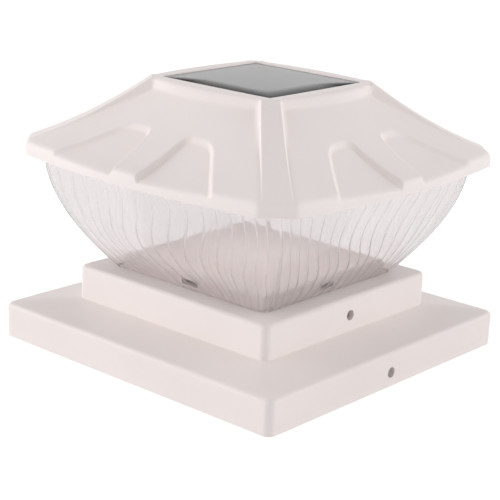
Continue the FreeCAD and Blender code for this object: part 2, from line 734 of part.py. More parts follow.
def make_ridges():
    """Raised flat-topped bar down each corner, from the panel frame to the rim. It starts and
    ends past both, and the trim cuts it to length."""
    body = new_body("corner_ridges")
    top_reach = "(frame_far + frame_near) / 2"
    rim_reach = "(rim_far + rim_near) / 2"
    sketches = []
    for step in range(FLARE_STEPS):
        way = RIDGE_START + (RIDGE_END - RIDGE_START) * step / (FLARE_STEPS - 1)
        sag = way * (1 - way)
        reach = f"({rim_reach} + ({top_reach} - {rim_reach}) * {way})"
        level = f"(rim_top + (frame_top - rim_top) * ({way} - ridge_flare * ({sag})))"
        half = f"(ridge_rim_width + (ridge_top_width - ridge_rim_width) * {way}) / 2"
        sketch = sketch_on(body, f"ridge_{step}", "YZ_Plane", f"{reach} * 2 ^ 0.5")
        sketches.append(outline(sketch, [
            (f"-({half}) - ridge_draft", f"{level} - ridge_depth", None),
            (f"{half} + ridge_draft", f"{level} - ridge_depth", None),
            (half, level, None),
            (f"-({half})", level, None)]))
    ridge = body_loft(body, "AdditiveLoft", sketches)
    four_times(body, [ridge])
    body.Placement = FreeCAD.Placement(Vector(0, 0, 0), Rotation(Vector(0, 0, 1), 45))
    return body


def hood_trim():
    """Everything outside the rim, its bevelled top edge and the frame's top."""
    around = box("trim_block", "4 * rim_mid", "4 * rim_mid",
                 "frame_top - rim_foot + 2 * tool_reach", z="rim_foot - tool_reach")
    rim = ("rim_mid", "rim_far", "rim_near")
    inside = ("rim_mid - rim_edge", "rim_far - rim_edge", "rim_near - rim_edge * side_shrink")
    skirt = prism("trim_skirt", bowed_octagon(
        free_sketch("trim_plan", "rim_foot - 2 * tool_reach"), *rim),
                  "rim_height - rim_edge + 2 * tool_reach")
    bevel = solid_loft("trim_bevel", [
        bowed_octagon(free_sketch("bevel_foot", "rim_top - rim_edge"), *rim),
        bowed_octagon(free_sketch("bevel_top", "rim_top + rim_edge_rise"), *inside)], ruled=True)
    crown = prism("trim_crown", bowed_octagon(
        free_sketch("crown_plan", "rim_top + rim_edge_rise"), *inside),
        "face_rise + frame_height - rim_edge_rise")
    return cut("trim", around, join("trim_keep", [skirt, bevel, crown]))


def make_cavity():
    """Space under the hood: the same faces and recesses, lowered, inside an upright wall."""
    lowered = cut("cavity_faces", flared_body("cavity", "hood_roof"),
                  recess_cutter("cavity", "hood_wall", "hood_roof + recess_depth"))
    wall_plan = bowed_octagon(
        free_sketch("cavity_plan", "rim_foot - tool_reach"), "rim_mid - hood_wall",
        "rim_far - hood_wall", "rim_near - hood_wall * side_shrink")
    wall = prism("cavity_wall", wall_plan, "frame_top - rim_foot + tool_reach")
    cavity = doc.addObject("Part::Common", "cavity")
    cavity.Base = lowered
    cavity.Tool = wall
    doc.recompute()
    depth = box("cavity_mouth", "2 * boss_place", "2 * boss_place", "hood_roof + cut_margin",
                z="rim_foot - cut_margin")
    return join("cavity_open", [cavity, depth])


def make_hood():
    block = flared_body("hood", "0")
    frame_low = bowed_octagon(
        free_sketch("frame_low", "frame_foot"), "frame_mid", "frame_far", "frame_near")
    frame_high = bowed_octagon(
        free_sketch("frame_high", "frame_top"), "frame_mid - frame_draft",
        "frame_far - frame_draft_far", "frame_near - frame_draft_near")
    frame = solid_loft("panel_frame", [frame_low, frame_high], ruled=True)
    outside = join("hood_outside", [block, frame, make_ridges()])
    outside = cut("hood_trimmed", outside, hood_trim())
    outside = cut("hood_recessed", outside, recess_cutter("outer", "0", "recess_depth"))
    shell = cut("hood_shell", outside, make_cavity())
    posts = []
    for number, (x, y) in enumerate(CORNERS):
        posts.append(rod(f"hood_post_{number}", "boss_radius",
                         "boss_height", f"{x} * boss_place", f"{y} * boss_place", "pan_top"))
    shell = join("hood_bossed", [shell] + posts)
    holes = [box("panel_pocket_block", "opening_side", "opening_side", "panel_pocket + cut_margin",
                 z="pocket_floor"),
             box("lead_hole", "wire_hole_width", "wire_hole_depth", "frame_height + tool_reach",
                 y="control_place", z="pocket_floor - tool_reach")]
    for number, (x, y) in enumerate(CORNERS):
        holes.append(rod(f"hood_pilot_{number}", "pilot_radius", "boss_height - boss_end",
                         f"{x} * boss_place", f"{y} * boss_place", "pan_top"))
    node("hood", cut("hood_moulding", shell, join("hood_holes", holes)))


# ---------------------------------------------------------------- solar panel

def make_panel():
    plate = box("sealant_plate", "panel_side", "panel_side", "sealant_thickness",
                z="pocket_floor")
    hole = box("sealant_hole", "panel_side - 2 * sealant_width",
               "panel_side - 2 * sealant_width", "sealant_thickness + cut_margin",
               z="pocket_floor - cut_margin / 2")
    node("panel_sealant", cut("sealant_ring", plate, hole))
    node("solar_board", box("solar_board_block", "panel_side", "panel_side",
                            "panel_board_thickness", z="panel_foot"))
    cells = []
    width = f"((cell_room - {CELL_COUNT - 1} * cell_gap) / {CELL_COUNT})"
    for number in range(CELL_COUNT):
        place = f"({number} - {(CELL_COUNT - 1) / 2}) * ({width} + cell_gap)"
        cells.append(box(f"cell_{number}", width, "cell_room", "cell_thickness",
                         x=place, z="cell_foot"))
    node("solar_cells", group("cell_group", cells))
    cover = box("cover_block", "panel_side", "panel_side", "cover_thickness + cell_thickness",
                z="cell_foot")
    bed = box("cover_bed", "cell_room + 2 * cell_clearance", "cell_room + 2 * cell_clearance",
              "cell_thickness + cell_clearance / 2", z="cell_foot")
    node("solar_cover", cut("cover_cast", cover, bed))
    leads = []
    for number, side in enumerate((-1, 1)):
        leads.append(rod(f"panel_lead_{number}", "lead_radius", "panel_foot - control_top",
                         f"{side} * lead_spread", "control_place", "control_top"))
    node("panel_leads", group("panel_lead_pair", leads))


# ---------------------------------------------------------------- reflector pan

def make_pan():
    body = new_body("reflector_pan")
    plate = rounded_square(
        sketch_on(body, "pan_plan", level="pan_foot"), "pan_side / 2", "pan_corner")
    pad(body, plate, "pan_thickness")
    skirt_half = "lens_mouth_side / 2 - lens_wall - skirt_gap"
    skirt_corner = "lens_mouth_corner - lens_wall * corner_share"
    skirt = rounded_square(
        sketch_on(body, "pan_skirt", level="pan_foot - skirt_depth"), skirt_half, skirt_corner)
    pad(body, skirt, "skirt_depth")
    dish = rounded_square(
        sketch_on(body, "pan_dish", level="pan_foot - skirt_depth"),
        f"{skirt_half} - skirt_wall", f"{skirt_corner} - skirt_wall * corner_share")
    pocket(body, dish, "skirt_depth")
    case = sketch_on(body, "cell_case", level="pan_top")
    rectangle(case, "-battery_room / 2 - pan_thickness", "battery_room / 2 + pan_thickness",
              "battery_place - box_width / 2 - pan_thickness",
              "battery_place + box_width / 2 + pan_thickness")
    pad(body, case, "box_width + pan_thickness")
    room = sketch_on(body, "cell_room_plan", level="pan_foot")
    rectangle(room, "-battery_room / 2", "battery_room / 2",
              "battery_place - box_width / 2", "battery_place + box_width / 2")
    pocket(body, room, "box_width + pan_thickness")
    for name, side in (("door_boss_left", -1), ("door_boss_right", 1)):
        boss = circle(sketch_on(body, name, level="pan_top"), f"{side} * door_screw_place",
                      "battery_place", "post_radius")
        pad(body, boss, "door_boss_height")
        pilot = circle(sketch_on(body, name + "_pilot", level="pan_foot"),
                       f"{side} * door_screw_place", "battery_place", "pilot_radius")
        pocket(body, pilot, "door_boss_height + pan_thickness - post_end")
    for name, side in (("board_post_left", -1), ("board_post_right", 1)):
        post = circle(sketch_on(body, name, level="pan_top"), f"{side} * control_boss_place",
                      "control_place", "post_radius")
        pad(body, post, "control_height")
        pilot = circle(sketch_on(body, name + "_pilot", level="pan_top + post_end"),
                       f"{side} * control_boss_place", "control_place", "pilot_radius")
        pocket(body, pilot, "control_height")
    slot = sketch_on(body, "switch_slot", level="pan_foot")
    rectangle(slot, "-slot_length / 2", "slot_length / 2",
              "switch_place - slot_width / 2", "switch_place + slot_width / 2")
    pocket(body, slot, "pan_thickness")
    pocket(body, circle(sketch_on(body, "led_lead_hole", level="pan_foot"),
                        "0", "control_place", "lead_spread + lead_radius + lead_gap"),
           "pan_thickness")
    screw_hole = sketch_on(body, "pan_screw_holes", level="pan_foot")
    for x, y in CORNERS:
        circle(screw_hole, f"{x} * boss_place", f"{y} * boss_place", "screw_radius + seat_gap")
    pocket(body, screw_hole, "pan_thickness")
    node("reflector_pan", body)


def screw(name, x, y, seat, length, upwards=True):
    """Small round-headed screw whose head sits on a face and whose shank goes into it."""
    if upwards:
        head = rod(name + "_head", "screw_head_radius", "screw_head_height", x, y,
                   f"{seat} - screw_head_height")
        shank = rod(name + "_shank", "screw_radius", length, x, y, seat)
    else:
        head = rod(name + "_head", "screw_head_radius", "screw_head_height", x, y, seat)
        shank = rod(name + "_shank", "screw_radius", length, x, y, f"{seat} - ({length})")
    return join(name, [head, shank])


def make_fasteners():
    node("pan_screws", group("pan_screw_set", [
        screw(f"pan_screw_{number}", f"{x} * boss_place", f"{y} * boss_place",
              "pan_foot", "pan_thickness + boss_height - boss_end - screw_end_gap")
        for number, (x, y) in enumerate(CORNERS)]))
    node("battery_door_screws", group("door_screw_set", [
        screw(f"door_screw_{number}", f"{side} * door_screw_place", "battery_place",
              "pan_foot - door_thickness",
              "door_thickness + door_boss_height + pan_thickness - post_end - screw_end_gap")
        for number, side in enumerate((-1, 1))]))
    node("control_board_screws", group("board_screw_set", [
        screw(f"board_screw_{number}", f"{side} * control_boss_place", "control_place",
              "control_top", "board_thickness + control_height - post_end - screw_end_gap", upwards=False)
        for number, side in enumerate((-1, 1))]))


# ---------------------------------------------------------------- light board and diffuser

def make_light():
    node("led_board", box("led_board_block", "light_board_side", "light_board_side",
                          "board_thickness", z="light_board_foot"))
    leds = []
    middle = (LEDS_PER_ROW - 1) / 2
    for turn in range(4):
        for number in range(LEDS_PER_ROW):
            along = f"({number} - {middle}) * (2 * led_ring / {LEDS_PER_ROW})"
            x, y = ((along, "led_ring"), ("led_ring", along),
                    (along, "-led_ring"), ("-led_ring", along))[turn]
            leds.append(box(f"led_{turn}_{number}", "led_side", "led_side", "led_height",
                            x=x, y=y, z="light_board_foot - led_height"))
    node("leds", group("led_set", leds))
    body = new_body("led_diffuser")
    flange = sketch_on(body, "diffuser_flange_plan", level="pan_foot - diffuser_wall")
    rounded_square(flange, "diffuser_side / 2 + diffuser_flange", "diffuser_flange")
    pad(body, flange, "diffuser_wall")
    cup = rounded_square(
        sketch_on(body, "diffuser_cup", level="pan_foot - diffuser_depth"),
        "diffuser_side / 2", "diffuser_flange")
    pad(body, cup, "diffuser_depth - diffuser_wall / 2")
    round_edges(body, "diffuser_edge", "pan_foot - diffuser_depth",
                "diffuser_side / 2 - diffuser_flange")
    room = rounded_square(
        sketch_on(body, "diffuser_room", level="pan_foot - diffuser_depth + diffuser_wall"),
        "diffuser_side / 2 - diffuser_wall", "diffuser_flange - diffuser_wall * corner_share")
    pocket(body, room, "diffuser_depth + cut_margin")
    node("led_diffuser", body)
    leads = []
    for number, side in enumerate((-1, 1)):
        leads.append(rod(f"led_lead_{number}", "lead_radius", "control_foot - pan_foot",
                         f"{side} * lead_spread", "control_place", "pan_foot"))
    node("led_leads", group("led_lead_pair", leads))


# ---------------------------------------------------------------- battery

def make_battery():
    can = rod("cell_can", "battery_radius", "battery_length")
    nub = rod("cell_nub", "nub_radius", "nub_height", z="battery_length")
    cell = join("cell_upright", [can, nub])
    laid = group("cell_laid", [cell])
    laid.Placement = FreeCAD.Placement(Vector(0, 0, 0), Rotation(Vector(0, 1, 0), 90))
    bind(laid, Placement__Base__x="battery_end - battery_length",
         Placement__Base__y="battery_place", Placement__Base__z="battery_axis")
    node("battery", laid)
    plate_side = "box_width - 2 * seat_gap"
    node("battery_plate_contact", box(
        "plate_contact", "contact_thickness", plate_side, plate_side,
        x="battery_room / 2 - contact_thickness / 2", y="battery_place",
        z="battery_axis - battery_radius"))
    plate = box("spring_plate", "contact_thickness", plate_side, plate_side,
                x="contact_thickness / 2 - battery_room / 2", y="battery_place",
                z="battery_axis - battery_radius")
    coil = doc.addObject("Part::Cone", "spring_cone")
    coil.Placement = FreeCAD.Placement(Vector(0, 0, 0), Rotation(Vector(0, 1, 0), 90))
    bind(coil, Radius1="spring_foot_radius", Radius2="spring_tip_radius",
         Height="spring_length", Placement__Base__x="contact_thickness - battery_room / 2",
         Placement__Base__y="battery_place", Placement__Base__z="battery_axis")
    bore = doc.addObject("Part::Cylinder", "spring_bore")
    bore.Placement = FreeCAD.Placement(Vector(0, 0, 0), Rotation(Vector(0, 1, 0), 90))
    bind(bore, Radius="spring_bore", Height="spring_length + cut_margin",
         Placement__Base__x="contact_thickness - battery_room / 2",
         Placement__Base__y="battery_place", Placement__Base__z="battery_axis")
    node("battery_spring_contact", join("spring_contact", [plate, cut("coil", coil, bore)]))
    door = box("door_plate", "battery_room + 2 * door_lap", "box_width + 2 * door_edge",
               "door_thickness", y="battery_place", z="pan_foot - door_thickness")
    rails = [box(f"door_rail_{number}", "rib_thickness", "box_width - 2 * battery_gap",
                 "pan_thickness + battery_gap - seat_gap / 2",
                 x=f"{side} * door_rail_place", y="battery_place", z="pan_foot")
             for number, side in enumerate((-1, 1))]
    door = join("door_moulding", [door] + rails)
    holes = join("door_holes", [
        rod(f"door_hole_{number}", "screw_radius + seat_gap", "door_thickness + 2 * cut_margin",
            f"{side} * door_screw_place", "battery_place",
            "pan_foot - door_thickness - cut_margin")
        for number, side in enumerate((-1, 1))])
    node("battery_door", cut("door_drilled", door, holes))


# ---------------------------------------------------------------- control board and switch

def make_control():
    board = box("control_block", "control_length", "control_width", "board_thickness",
                y="control_place", z="control_foot")
    holes = join("control_holes", [
        rod(f"control_hole_{number}", "screw_radius + seat_gap", "board_thickness + 2 * cut_margin",
            f"{side} * control_boss_place", "control_place",
            "control_foot - cut_margin")
        for number, side in enumerate((-1, 1))])
    node("control_board", cut("control_drilled", board, holes))
    chip = box("charge_chip", "chip_length", "chip_width", "chip_height",
               x="-part_side", y="control_place + part_back", z="control_top")
    coil = box("boost_coil", "coil_side", "coil_side", "coil_height",
               x="part_side", y="control_place + part_back", z="control_top")
    store = rod("smoothing_can", "can_radius", "can_height",
                "part_side", "control_place - part_back", "control_top")
    diode = box("blocking_diode", "diode_length", "diode_width", "diode_height",
                x="-part_side", y="control_place - part_back", z="control_top")
    node("control_parts", group("control_part_set", [chip, coil, store, diode]))


def make_switch():
    case = box("switch_case", "switch_length", "switch_width", "switch_height",
               y="switch_place", z="pan_top")
    channel = box("switch_channel", "switch_travel + foot_length + 2 * slider_gap",
                  "foot_width + 2 * slider_gap", "slider_foot + 2 * slider_gap",
                  y="switch_place", z="pan_top")
    node("switch_housing", cut("switch_cased", case, channel))
    off = "-switch_travel / 2"
    foot = box("slider_foot_block", "foot_length", "foot_width", "slider_foot",
               x=off, y="switch_place", z="pan_top + slider_gap")
    knob = box("slider_knob", "knob_length", "knob_width",
               "knob_reach + pan_thickness + slider_gap + slider_foot / 2",
               x=off, y="switch_place", z="pan_foot - knob_reach")
    node("switch_slider", join("slider", [foot, knob]))


fill_sheet()
make_tray()
make_collar()
make_lens()
make_gasket()
make_hood()
make_panel()
make_pan()
make_fasteners()
make_light()
make_battery()
make_control()
make_switch()

os.makedirs("parts", exist_ok=True)
doc.recompute()
for item in doc.Objects:
    bad = [word for word in item.State if word in ("Invalid", "Error")]
    if bad:
        raise RuntimeError(f"{item.Name} is {bad}")
for item in NODES:
    shape = item.Shape
    if shape.isNull() or not shape.isValid():
        raise RuntimeError(f"{item.Label} has no valid shape")
    shape.exportStep(os.path.join("parts", f"{item.Label}.step"))
    print(item.Label, len(shape.Solids), round(shape.Volume), shape.BoundBox)
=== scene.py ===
"""Deck post cap light: its hood, rippled lens and panel cover, its finishes and its stage."""
import math

import bmesh
import bpy
from bpy.props import FloatProperty, FloatVectorProperty, PointerProperty
from mathutils import Matrix, Vector, noise


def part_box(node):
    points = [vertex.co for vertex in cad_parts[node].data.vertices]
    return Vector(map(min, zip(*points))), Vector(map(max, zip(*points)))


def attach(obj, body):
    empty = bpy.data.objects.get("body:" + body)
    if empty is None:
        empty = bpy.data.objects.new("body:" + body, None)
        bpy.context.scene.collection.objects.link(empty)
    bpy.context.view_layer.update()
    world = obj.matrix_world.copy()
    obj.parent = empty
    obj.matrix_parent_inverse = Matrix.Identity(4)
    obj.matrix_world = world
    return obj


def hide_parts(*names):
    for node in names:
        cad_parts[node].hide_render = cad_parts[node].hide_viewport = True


bl_info = {
    "name": "Deck post cap light",
    "version": (1, 0, 0),
    "blender": (4, 5, 0),
    "location": "View3D > Sidebar > Post light",
    "description": "Hood, rippled lens and finishes of a solar deck post cap light",
    "category": "Object",
}

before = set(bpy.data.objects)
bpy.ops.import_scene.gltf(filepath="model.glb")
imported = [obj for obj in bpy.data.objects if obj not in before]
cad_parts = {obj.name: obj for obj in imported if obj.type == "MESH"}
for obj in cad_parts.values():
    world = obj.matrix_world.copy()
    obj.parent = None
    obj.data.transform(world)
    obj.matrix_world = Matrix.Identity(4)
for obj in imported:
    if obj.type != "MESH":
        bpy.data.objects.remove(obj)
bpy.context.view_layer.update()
MM = 0.001


def cad_box(name):
    """(low corner, high corner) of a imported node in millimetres."""
    return [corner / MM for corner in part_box(name)]


# ---------------------------------------------------------------- what a user would change

class PostLightSizes(bpy.types.PropertyGroup):
    recess_depth: FloatProperty(
        name="Recess depth", description="Depth of the hood's sunk panels where they meet the rim",
        default=0.0028, min=0.001, max=0.005, unit="LENGTH")
    recess_head: FloatProperty(
        name="Recess depth at the head", description="Depth of the sunk panels at their top",
        default=0.0019, min=0.0005, max=0.005, unit="LENGTH")
    ridge_round: FloatProperty(
        name="Ridge rounding", description="Softness of the corner ridges' long edges",
        default=0.0011, min=0.0003, max=0.003, unit="LENGTH")
    rim_round: FloatProperty(
        name="Rim rounding", description="Radius of the rim's top edge",
        default=0.0022, min=0.0005, max=0.004, unit="LENGTH")
    ripple_spacing: FloatProperty(
        name="Ripple spacing", description="Distance between the lens's ripples at its mouth",
        default=0.008, min=0.003, max=0.02, unit="LENGTH")
    ripple_height: FloatProperty(
        name="Ripple height", description="How far a ripple stands out of the lens",
        default=0.00004, min=0.0, max=0.0005, unit="LENGTH")
    floor_width: FloatProperty(
        name="Floor width", description="Width of the floor that the light stands on",
        default=12.0, min=1.0, max=40.0, unit="LENGTH")


class PostLightColours(bpy.types.PropertyGroup):
    plastic: FloatVectorProperty(
        name="Plastic", description="Off-white of the moulded parts",
        default=(0.96, 0.88, 0.86), min=0, max=1, size=3, subtype="COLOR")
    lens: FloatVectorProperty(
        name="Lens", description="Tint of the clear lens",
        default=(0.985, 0.95, 0.955), min=0, max=1, size=3, subtype="COLOR")
    cell: FloatVectorProperty(
        name="Solar cell", description="Silicon between the silver fingers",
        default=(0.006, 0.007, 0.012), min=0, max=1, size=3, subtype="COLOR")
    board: FloatVectorProperty(
        name="Control board", description="Lacquer of the control board",
        default=(0.012, 0.085, 0.035), min=0, max=1, size=3, subtype="COLOR")
    floor: FloatVectorProperty(
        name="Floor", description="Plain pale floor",
        default=(0.86, 0.86, 0.86), min=0, max=1, size=3, subtype="COLOR")


def sizes():
    return bpy.context.scene.post_light_sizes


def colours():
    return bpy.context.scene.post_light_colours


# ---------------------------------------------------------------- modelling by rings

def deselect():
    if bpy.context.object and bpy.context.object.mode != "OBJECT":
        bpy.ops.object.mode_set(mode="OBJECT")
    bpy.ops.object.select_all(action="DESELECT")


def only(piece):
    deselect()
    bpy.context.view_layer.objects.active = piece
    piece.select_set(True)


def ring_piece(name, rings, close_ends=False, close_loop=False):
    """A circle is added, set to the first outline and extruded to each next one. Outlines are
    lists of points in millimetres, all of the same length. close_ends puts a lid on the first
    and last, and close_loop joins them."""
    deselect()
    bpy.ops.mesh.primitive_circle_add(vertices=len(rings[0]), radius=0.05)
    piece = bpy.context.object
    piece.name = piece.data.name = name
    bpy.ops.object.mode_set(mode="EDIT")
    bpy.ops.mesh.select_mode(type="VERT")
    mesh = bmesh.from_edit_mesh(piece.data)
    column = mesh.verts.layers.int.new("column")
    for place, vertex in enumerate(mesh.verts):
        vertex[column] = place
    for number, ring in enumerate(rings):
        if number:
            bpy.ops.mesh.extrude_region_move()
            mesh = bmesh.from_edit_mesh(piece.data)
            column = mesh.verts.layers.int["column"]
        for vertex in mesh.verts:
            if vertex.select:
                vertex.co = ring[vertex[column]] * MM
        if close_ends and number in (0, len(rings) - 1):
            bpy.ops.mesh.edge_face_add()
            if number == 0:
                # the first lid stays behind when the ring is extruded as edges
                mesh = bmesh.from_edit_mesh(piece.data)
                for face in mesh.faces:
                    face.select_set(False)
                for edge in mesh.edges:
                    edge.select_set(True)
    bpy.ops.mesh.select_all(action="DESELECT")
    if close_loop:
        mesh = bmesh.from_edit_mesh(piece.data)
        for edge in mesh.edges:
            if edge.is_boundary:
                edge.select_set(True)
        bpy.ops.mesh.bridge_edge_loops()
    bpy.ops.mesh.select_all(action="SELECT")
    bpy.ops.mesh.normals_make_consistent(inside=False)
    bpy.ops.mesh.select_all(action="DESELECT")
    bpy.ops.object.mode_set(mode="OBJECT")
    return piece


def smooth(piece, degrees):
    only(piece)
    bpy.ops.object.shade_smooth_by_angle(angle=math.radians(degrees))


def soft_max(first, second, reach):
    """The larger of two heights, with the valley between them filled over reach."""
    gap = max(reach - abs(first - second), 0) / reach
    return max(first, second) + gap * gap * reach / 4


def soft_min(first, second, reach):
    return -soft_max(-first, -second, reach)


def ease(value):
    value = min(max(value, 0), 1)
    return value * value * (3 - 2 * value)


def spread(start, end, count):
    """Evenly spaced values from start up to but without end."""
    return [start + (end - start) * step / count for step in range(count)]


# ---------------------------------------------------------------- the hood's form, millimetres

# levels
RIM_FOOT, RIM_TOP, FRAME_FOOT, FRAME_TOP = 85.4, 91.4, 115.6, cad_box("hood")[1].z
# outlines: half width at mid side and where the chamfer starts, half the side's length to there
RIM, FRAME, FRAME_IN = (83.3, 77.2, 66.9), (41.8, 37.2, 31.0), (38.9, 36.04, 30.71)
OPENING, POCKET = 31.3, 115.6     # the panel's opening: its half width, the level of its floor
FRAME_ROUND, FRAME_WAY = 0.3, 0.6     # softness of the frame's top, and from which way up
ROOF, WALL = 3.0, 2.5             # thickness of the roof and of the rim's wall
LINING_WAY = 0.955                # how far down the roof its underside follows it
ROOF_SAG, RIDGE_SAG, CORNER_LAG = 0.41, 0.32, 0.2     # hollow of roof, ridges and chamfers

RIDGE_WIDTHS = (12, 8)            # of a corner ridge, at the rim and at the frame
RIDGE_FALL, RIDGE_FILLET = 4.2, 1.2   # slope of its sides, softness of their foot
RIDGE_OUT, RIDGE_IN, RIDGE_LAND = 0.8, 1.0, 1.2       # where mesh columns stand by its edge

RECESS_START, RECESS_CORNER = 56.6, 4.0   # its head's distance from the axis, its corners
RECESS_WALL = (-0.35, 1.5)        # the wall's top and foot, measured inwards from the outline
RECESS_LEAN = (0.99, 0.74)        # cosines of how far its two upright edges lean
RECESS_EDGES = (9.6, 24.4)        # where they lie at the recess's head
EDGES_TO_FRAME, EDGES_TO_RIM = (-2.0, -6.0), (-3.0, 24.2)     # and how they move from there
RECESS_TILT = (0.15, 0.35)        # share of its depth lost at the far edge: at its head, and
                                  # so much more at the rim
NEAR_WALL, FAR_WALL, WALL_MARGIN = 2.2, 2.6, 1.0      # where mesh columns stand by the edges

# parts of an eighth of the hood from mid side to the corner, each with its mesh columns
COLUMN_STEPS = (("rib", 5), ("near", 7), ("panel", 12), ("far", 7), ("land", 11), ("edge", 2),
                ("wall", 7), ("ridge", 4))


def blend_rows(first, second, part_way):
    return [a + (b - a) * part_way for a, b in zip(first, second)]


def side_outline(way):
    """(mid, far, near) of a level outline: 0 is the rim, 1 the frame's foot, 2 its top."""
    if way <= 0:
        return RIM
    if way > 1:
        return blend_rows(FRAME, FRAME_IN, way - 1)
    mid = RIM[0] + (FRAME[0] - RIM[0]) * way
    corner_way = way - CORNER_LAG * way * (1 - way)
    return [mid] + blend_rows(RIM[1:], FRAME[1:], corner_way)


def face_height(way):
    if way <= 0:
        return RIM_TOP
    if way >= 1:
        return FRAME_FOOT + (FRAME_TOP - FRAME_FOOT) * (way - 1)
    return RIM_TOP + (FRAME_FOOT - RIM_TOP) * (way - ROOF_SAG * way * (1 - way))


def recess_lines(out):
    """Where the two upright edges of a recess lie, at a distance out from the post's axis."""
    if out < RECESS_START:
        moves, way = EDGES_TO_FRAME, (RECESS_START - out) / (RECESS_START - FRAME[0])
    else:
        moves, way = EDGES_TO_RIM, (out - RECESS_START) / (RIM[0] - RECESS_START)
    return [edge + move * way for edge, move in zip(RECESS_EDGES, moves)]


def recess_mask(along, out):
    """1 on the floor of a recess, 0 outside it, with a drafted wall between."""
    near, far = recess_lines(out)
    sides = [(along - near) * RECESS_LEAN[0], (far - along) * RECESS_LEAN[1], out - RECESS_START]
    inside = min(sides)
    for first, second in ((sides[0], sides[2]), (sides[1], sides[2])):
        if first < RECESS_CORNER and second < RECESS_CORNER:
            reach = math.hypot(RECESS_CORNER - first, RECESS_CORNER - second)
            inside = min(inside, RECESS_CORNER - reach)
    top, foot = RECESS_WALL
    return ease((inside - top) / (foot - top))


def recess_drop(along, out):
    """How far the hood's face is sunk at a place: its panels get deeper towards the rim and
    towards the rib at mid side."""
    head, foot = sizes().recess_head / MM, sizes().recess_depth / MM
    near, far = recess_lines(out)
    down = min(max((out - RECESS_START) / (RIM[0] - RECESS_START), 0), 1)
    across = min(max((along - near) / (far - near), 0), 1)
    tilt, more = RECESS_TILT
    level = (head + (foot - head) * down) * (1 - across * (tilt + more * down))
    return recess_mask(along, out) * level


def ridge_half(way):
    """Half width of a corner ridge's top at a way up."""
    low, high = RIDGE_WIDTHS
    return (low + (high - low) * way) / 2


def ridge_height(along, out):
    """Top of the corner ridge over a place, falling away steeply beside it."""
    reach = (along + out) / 2
    beside = abs(out - along) / math.sqrt(2)
    rim_reach, top_reach = (RIM[1] + RIM[2]) / 2, (FRAME[1] + FRAME[2]) / 2
    way = (reach - rim_reach) / (top_reach - rim_reach)
    level = RIM_TOP + (FRAME_TOP - RIM_TOP) * (way - RIDGE_SAG * way * (1 - way))
    fallen = level - (beside - ridge_half(way)) * RIDGE_FALL
    return soft_min(level, fallen, sizes().ridge_round / MM)


def surface(along, out, way):
    """Height of the hood's outside over a place on the outline at a way up."""
    base = face_height(way)
    if way < 1:
        base -= recess_drop(along, out)
    if way <= 0:
        return max(base, min(ridge_height(along, out), RIM_TOP))
    height = soft_max(base, ridge_height(along, out), RIDGE_FILLET)
    return soft_min(height, FRAME_TOP, FRAME_ROUND) if way > FRAME_WAY else height


def hood_columns():
    """Places round an eighth of the hood: (part, fraction) from mid side to the corner."""
    return [(part, fraction) for part, count in COLUMN_STEPS for fraction in spread(0, 1, count)]


def column_place(part, fraction, way):
    """(along, out) of a column on the outline at a way up."""
    mid, far, near = side_outline(min(way, 2))

    def bow(along):
        return mid - (mid - far) * (along / near) ** 2

    along = 0.0
    for _ in range(3):
        first, second = recess_lines(bow(along))
        stops = {"rib": (0, first - WALL_MARGIN),
                 "near": (first - WALL_MARGIN, first + NEAR_WALL),
                 "panel": (first + NEAR_WALL, second - FAR_WALL),
                 "far": (second - FAR_WALL, second + WALL_MARGIN),
                 "land": (second + WALL_MARGIN, near)}
        if part not in stops:
            break
        low, high = stops[part]
        along = low + (high - low) * fraction
    if part in stops:
        return along, bow(along)
    corner = (far - near) / math.sqrt(2)
    half = min(ridge_half(min(max(way, 0), 1)), corner - RIDGE_LAND)
    stops = {"edge": (corner, half + RIDGE_OUT), "wall": (half + RIDGE_OUT, half - RIDGE_IN),
             "ridge": (half - RIDGE_IN, 0)}
    low, high = stops[part]
    beside = low + (high - low) * fraction
    middle = (far + near) / 2
    return middle - beside / math.sqrt(2), middle + beside / math.sqrt(2)


def hood_point(column, station):
    """Point of the hood's skin. Stations run from the rim's foot (-1) over the rim (0), the
    frame's foot (1) and top (2) to the opening (3) and down its wall to the pocket (4)."""
    part, fraction = column
    if station <= 0:
        along, out = column_place(part, fraction, 0)
        top = surface(along, out, 0)
        return Vector((along, out, RIM_FOOT + (top - RIM_FOOT) * (station + 1)))
    if station <= 2:
        along, out = column_place(part, fraction, station)
        return Vector((along, out, surface(along, out, station)))
    along, out = column_place(part, fraction, 2)
    scale = 1 + (OPENING / out - 1) * min(station - 2, 1)
    height = FRAME_TOP if station <= 3 else FRAME_TOP + (POCKET - FRAME_TOP) * (station - 3)
    return Vector((along * scale, out * scale, height))


def hood_lining(column, station):
    """Point of the hood's underside: 0 is the middle of the roof, 1 the wall, 2 its foot."""
    part, fraction = column
    if station <= 1:
        way = 1 - station * LINING_WAY
        along, out = column_place(part, fraction, way)
        return Vector((along, out, face_height(way) - recess_drop(along, out) - ROOF))
    along, out = column_place(part, fraction, 0)
    inner = Vector((along, out, 0)) * (1 - WALL / out)
    top = hood_lining(column, 1).z
    inner.z = top + (RIM_FOOT - top) * (station - 1)
    return inner


def eased_corner(column, station, before, after, part_way):
    """Point on the rounded corner at a station, between before and after it."""
    first, middle, last = (hood_point(column, station - before), hood_point(column, station),
                           hood_point(column, station + after))
    back = 1 - part_way
    return first * back * back + middle * 2 * back * part_way + last * part_way * part_way


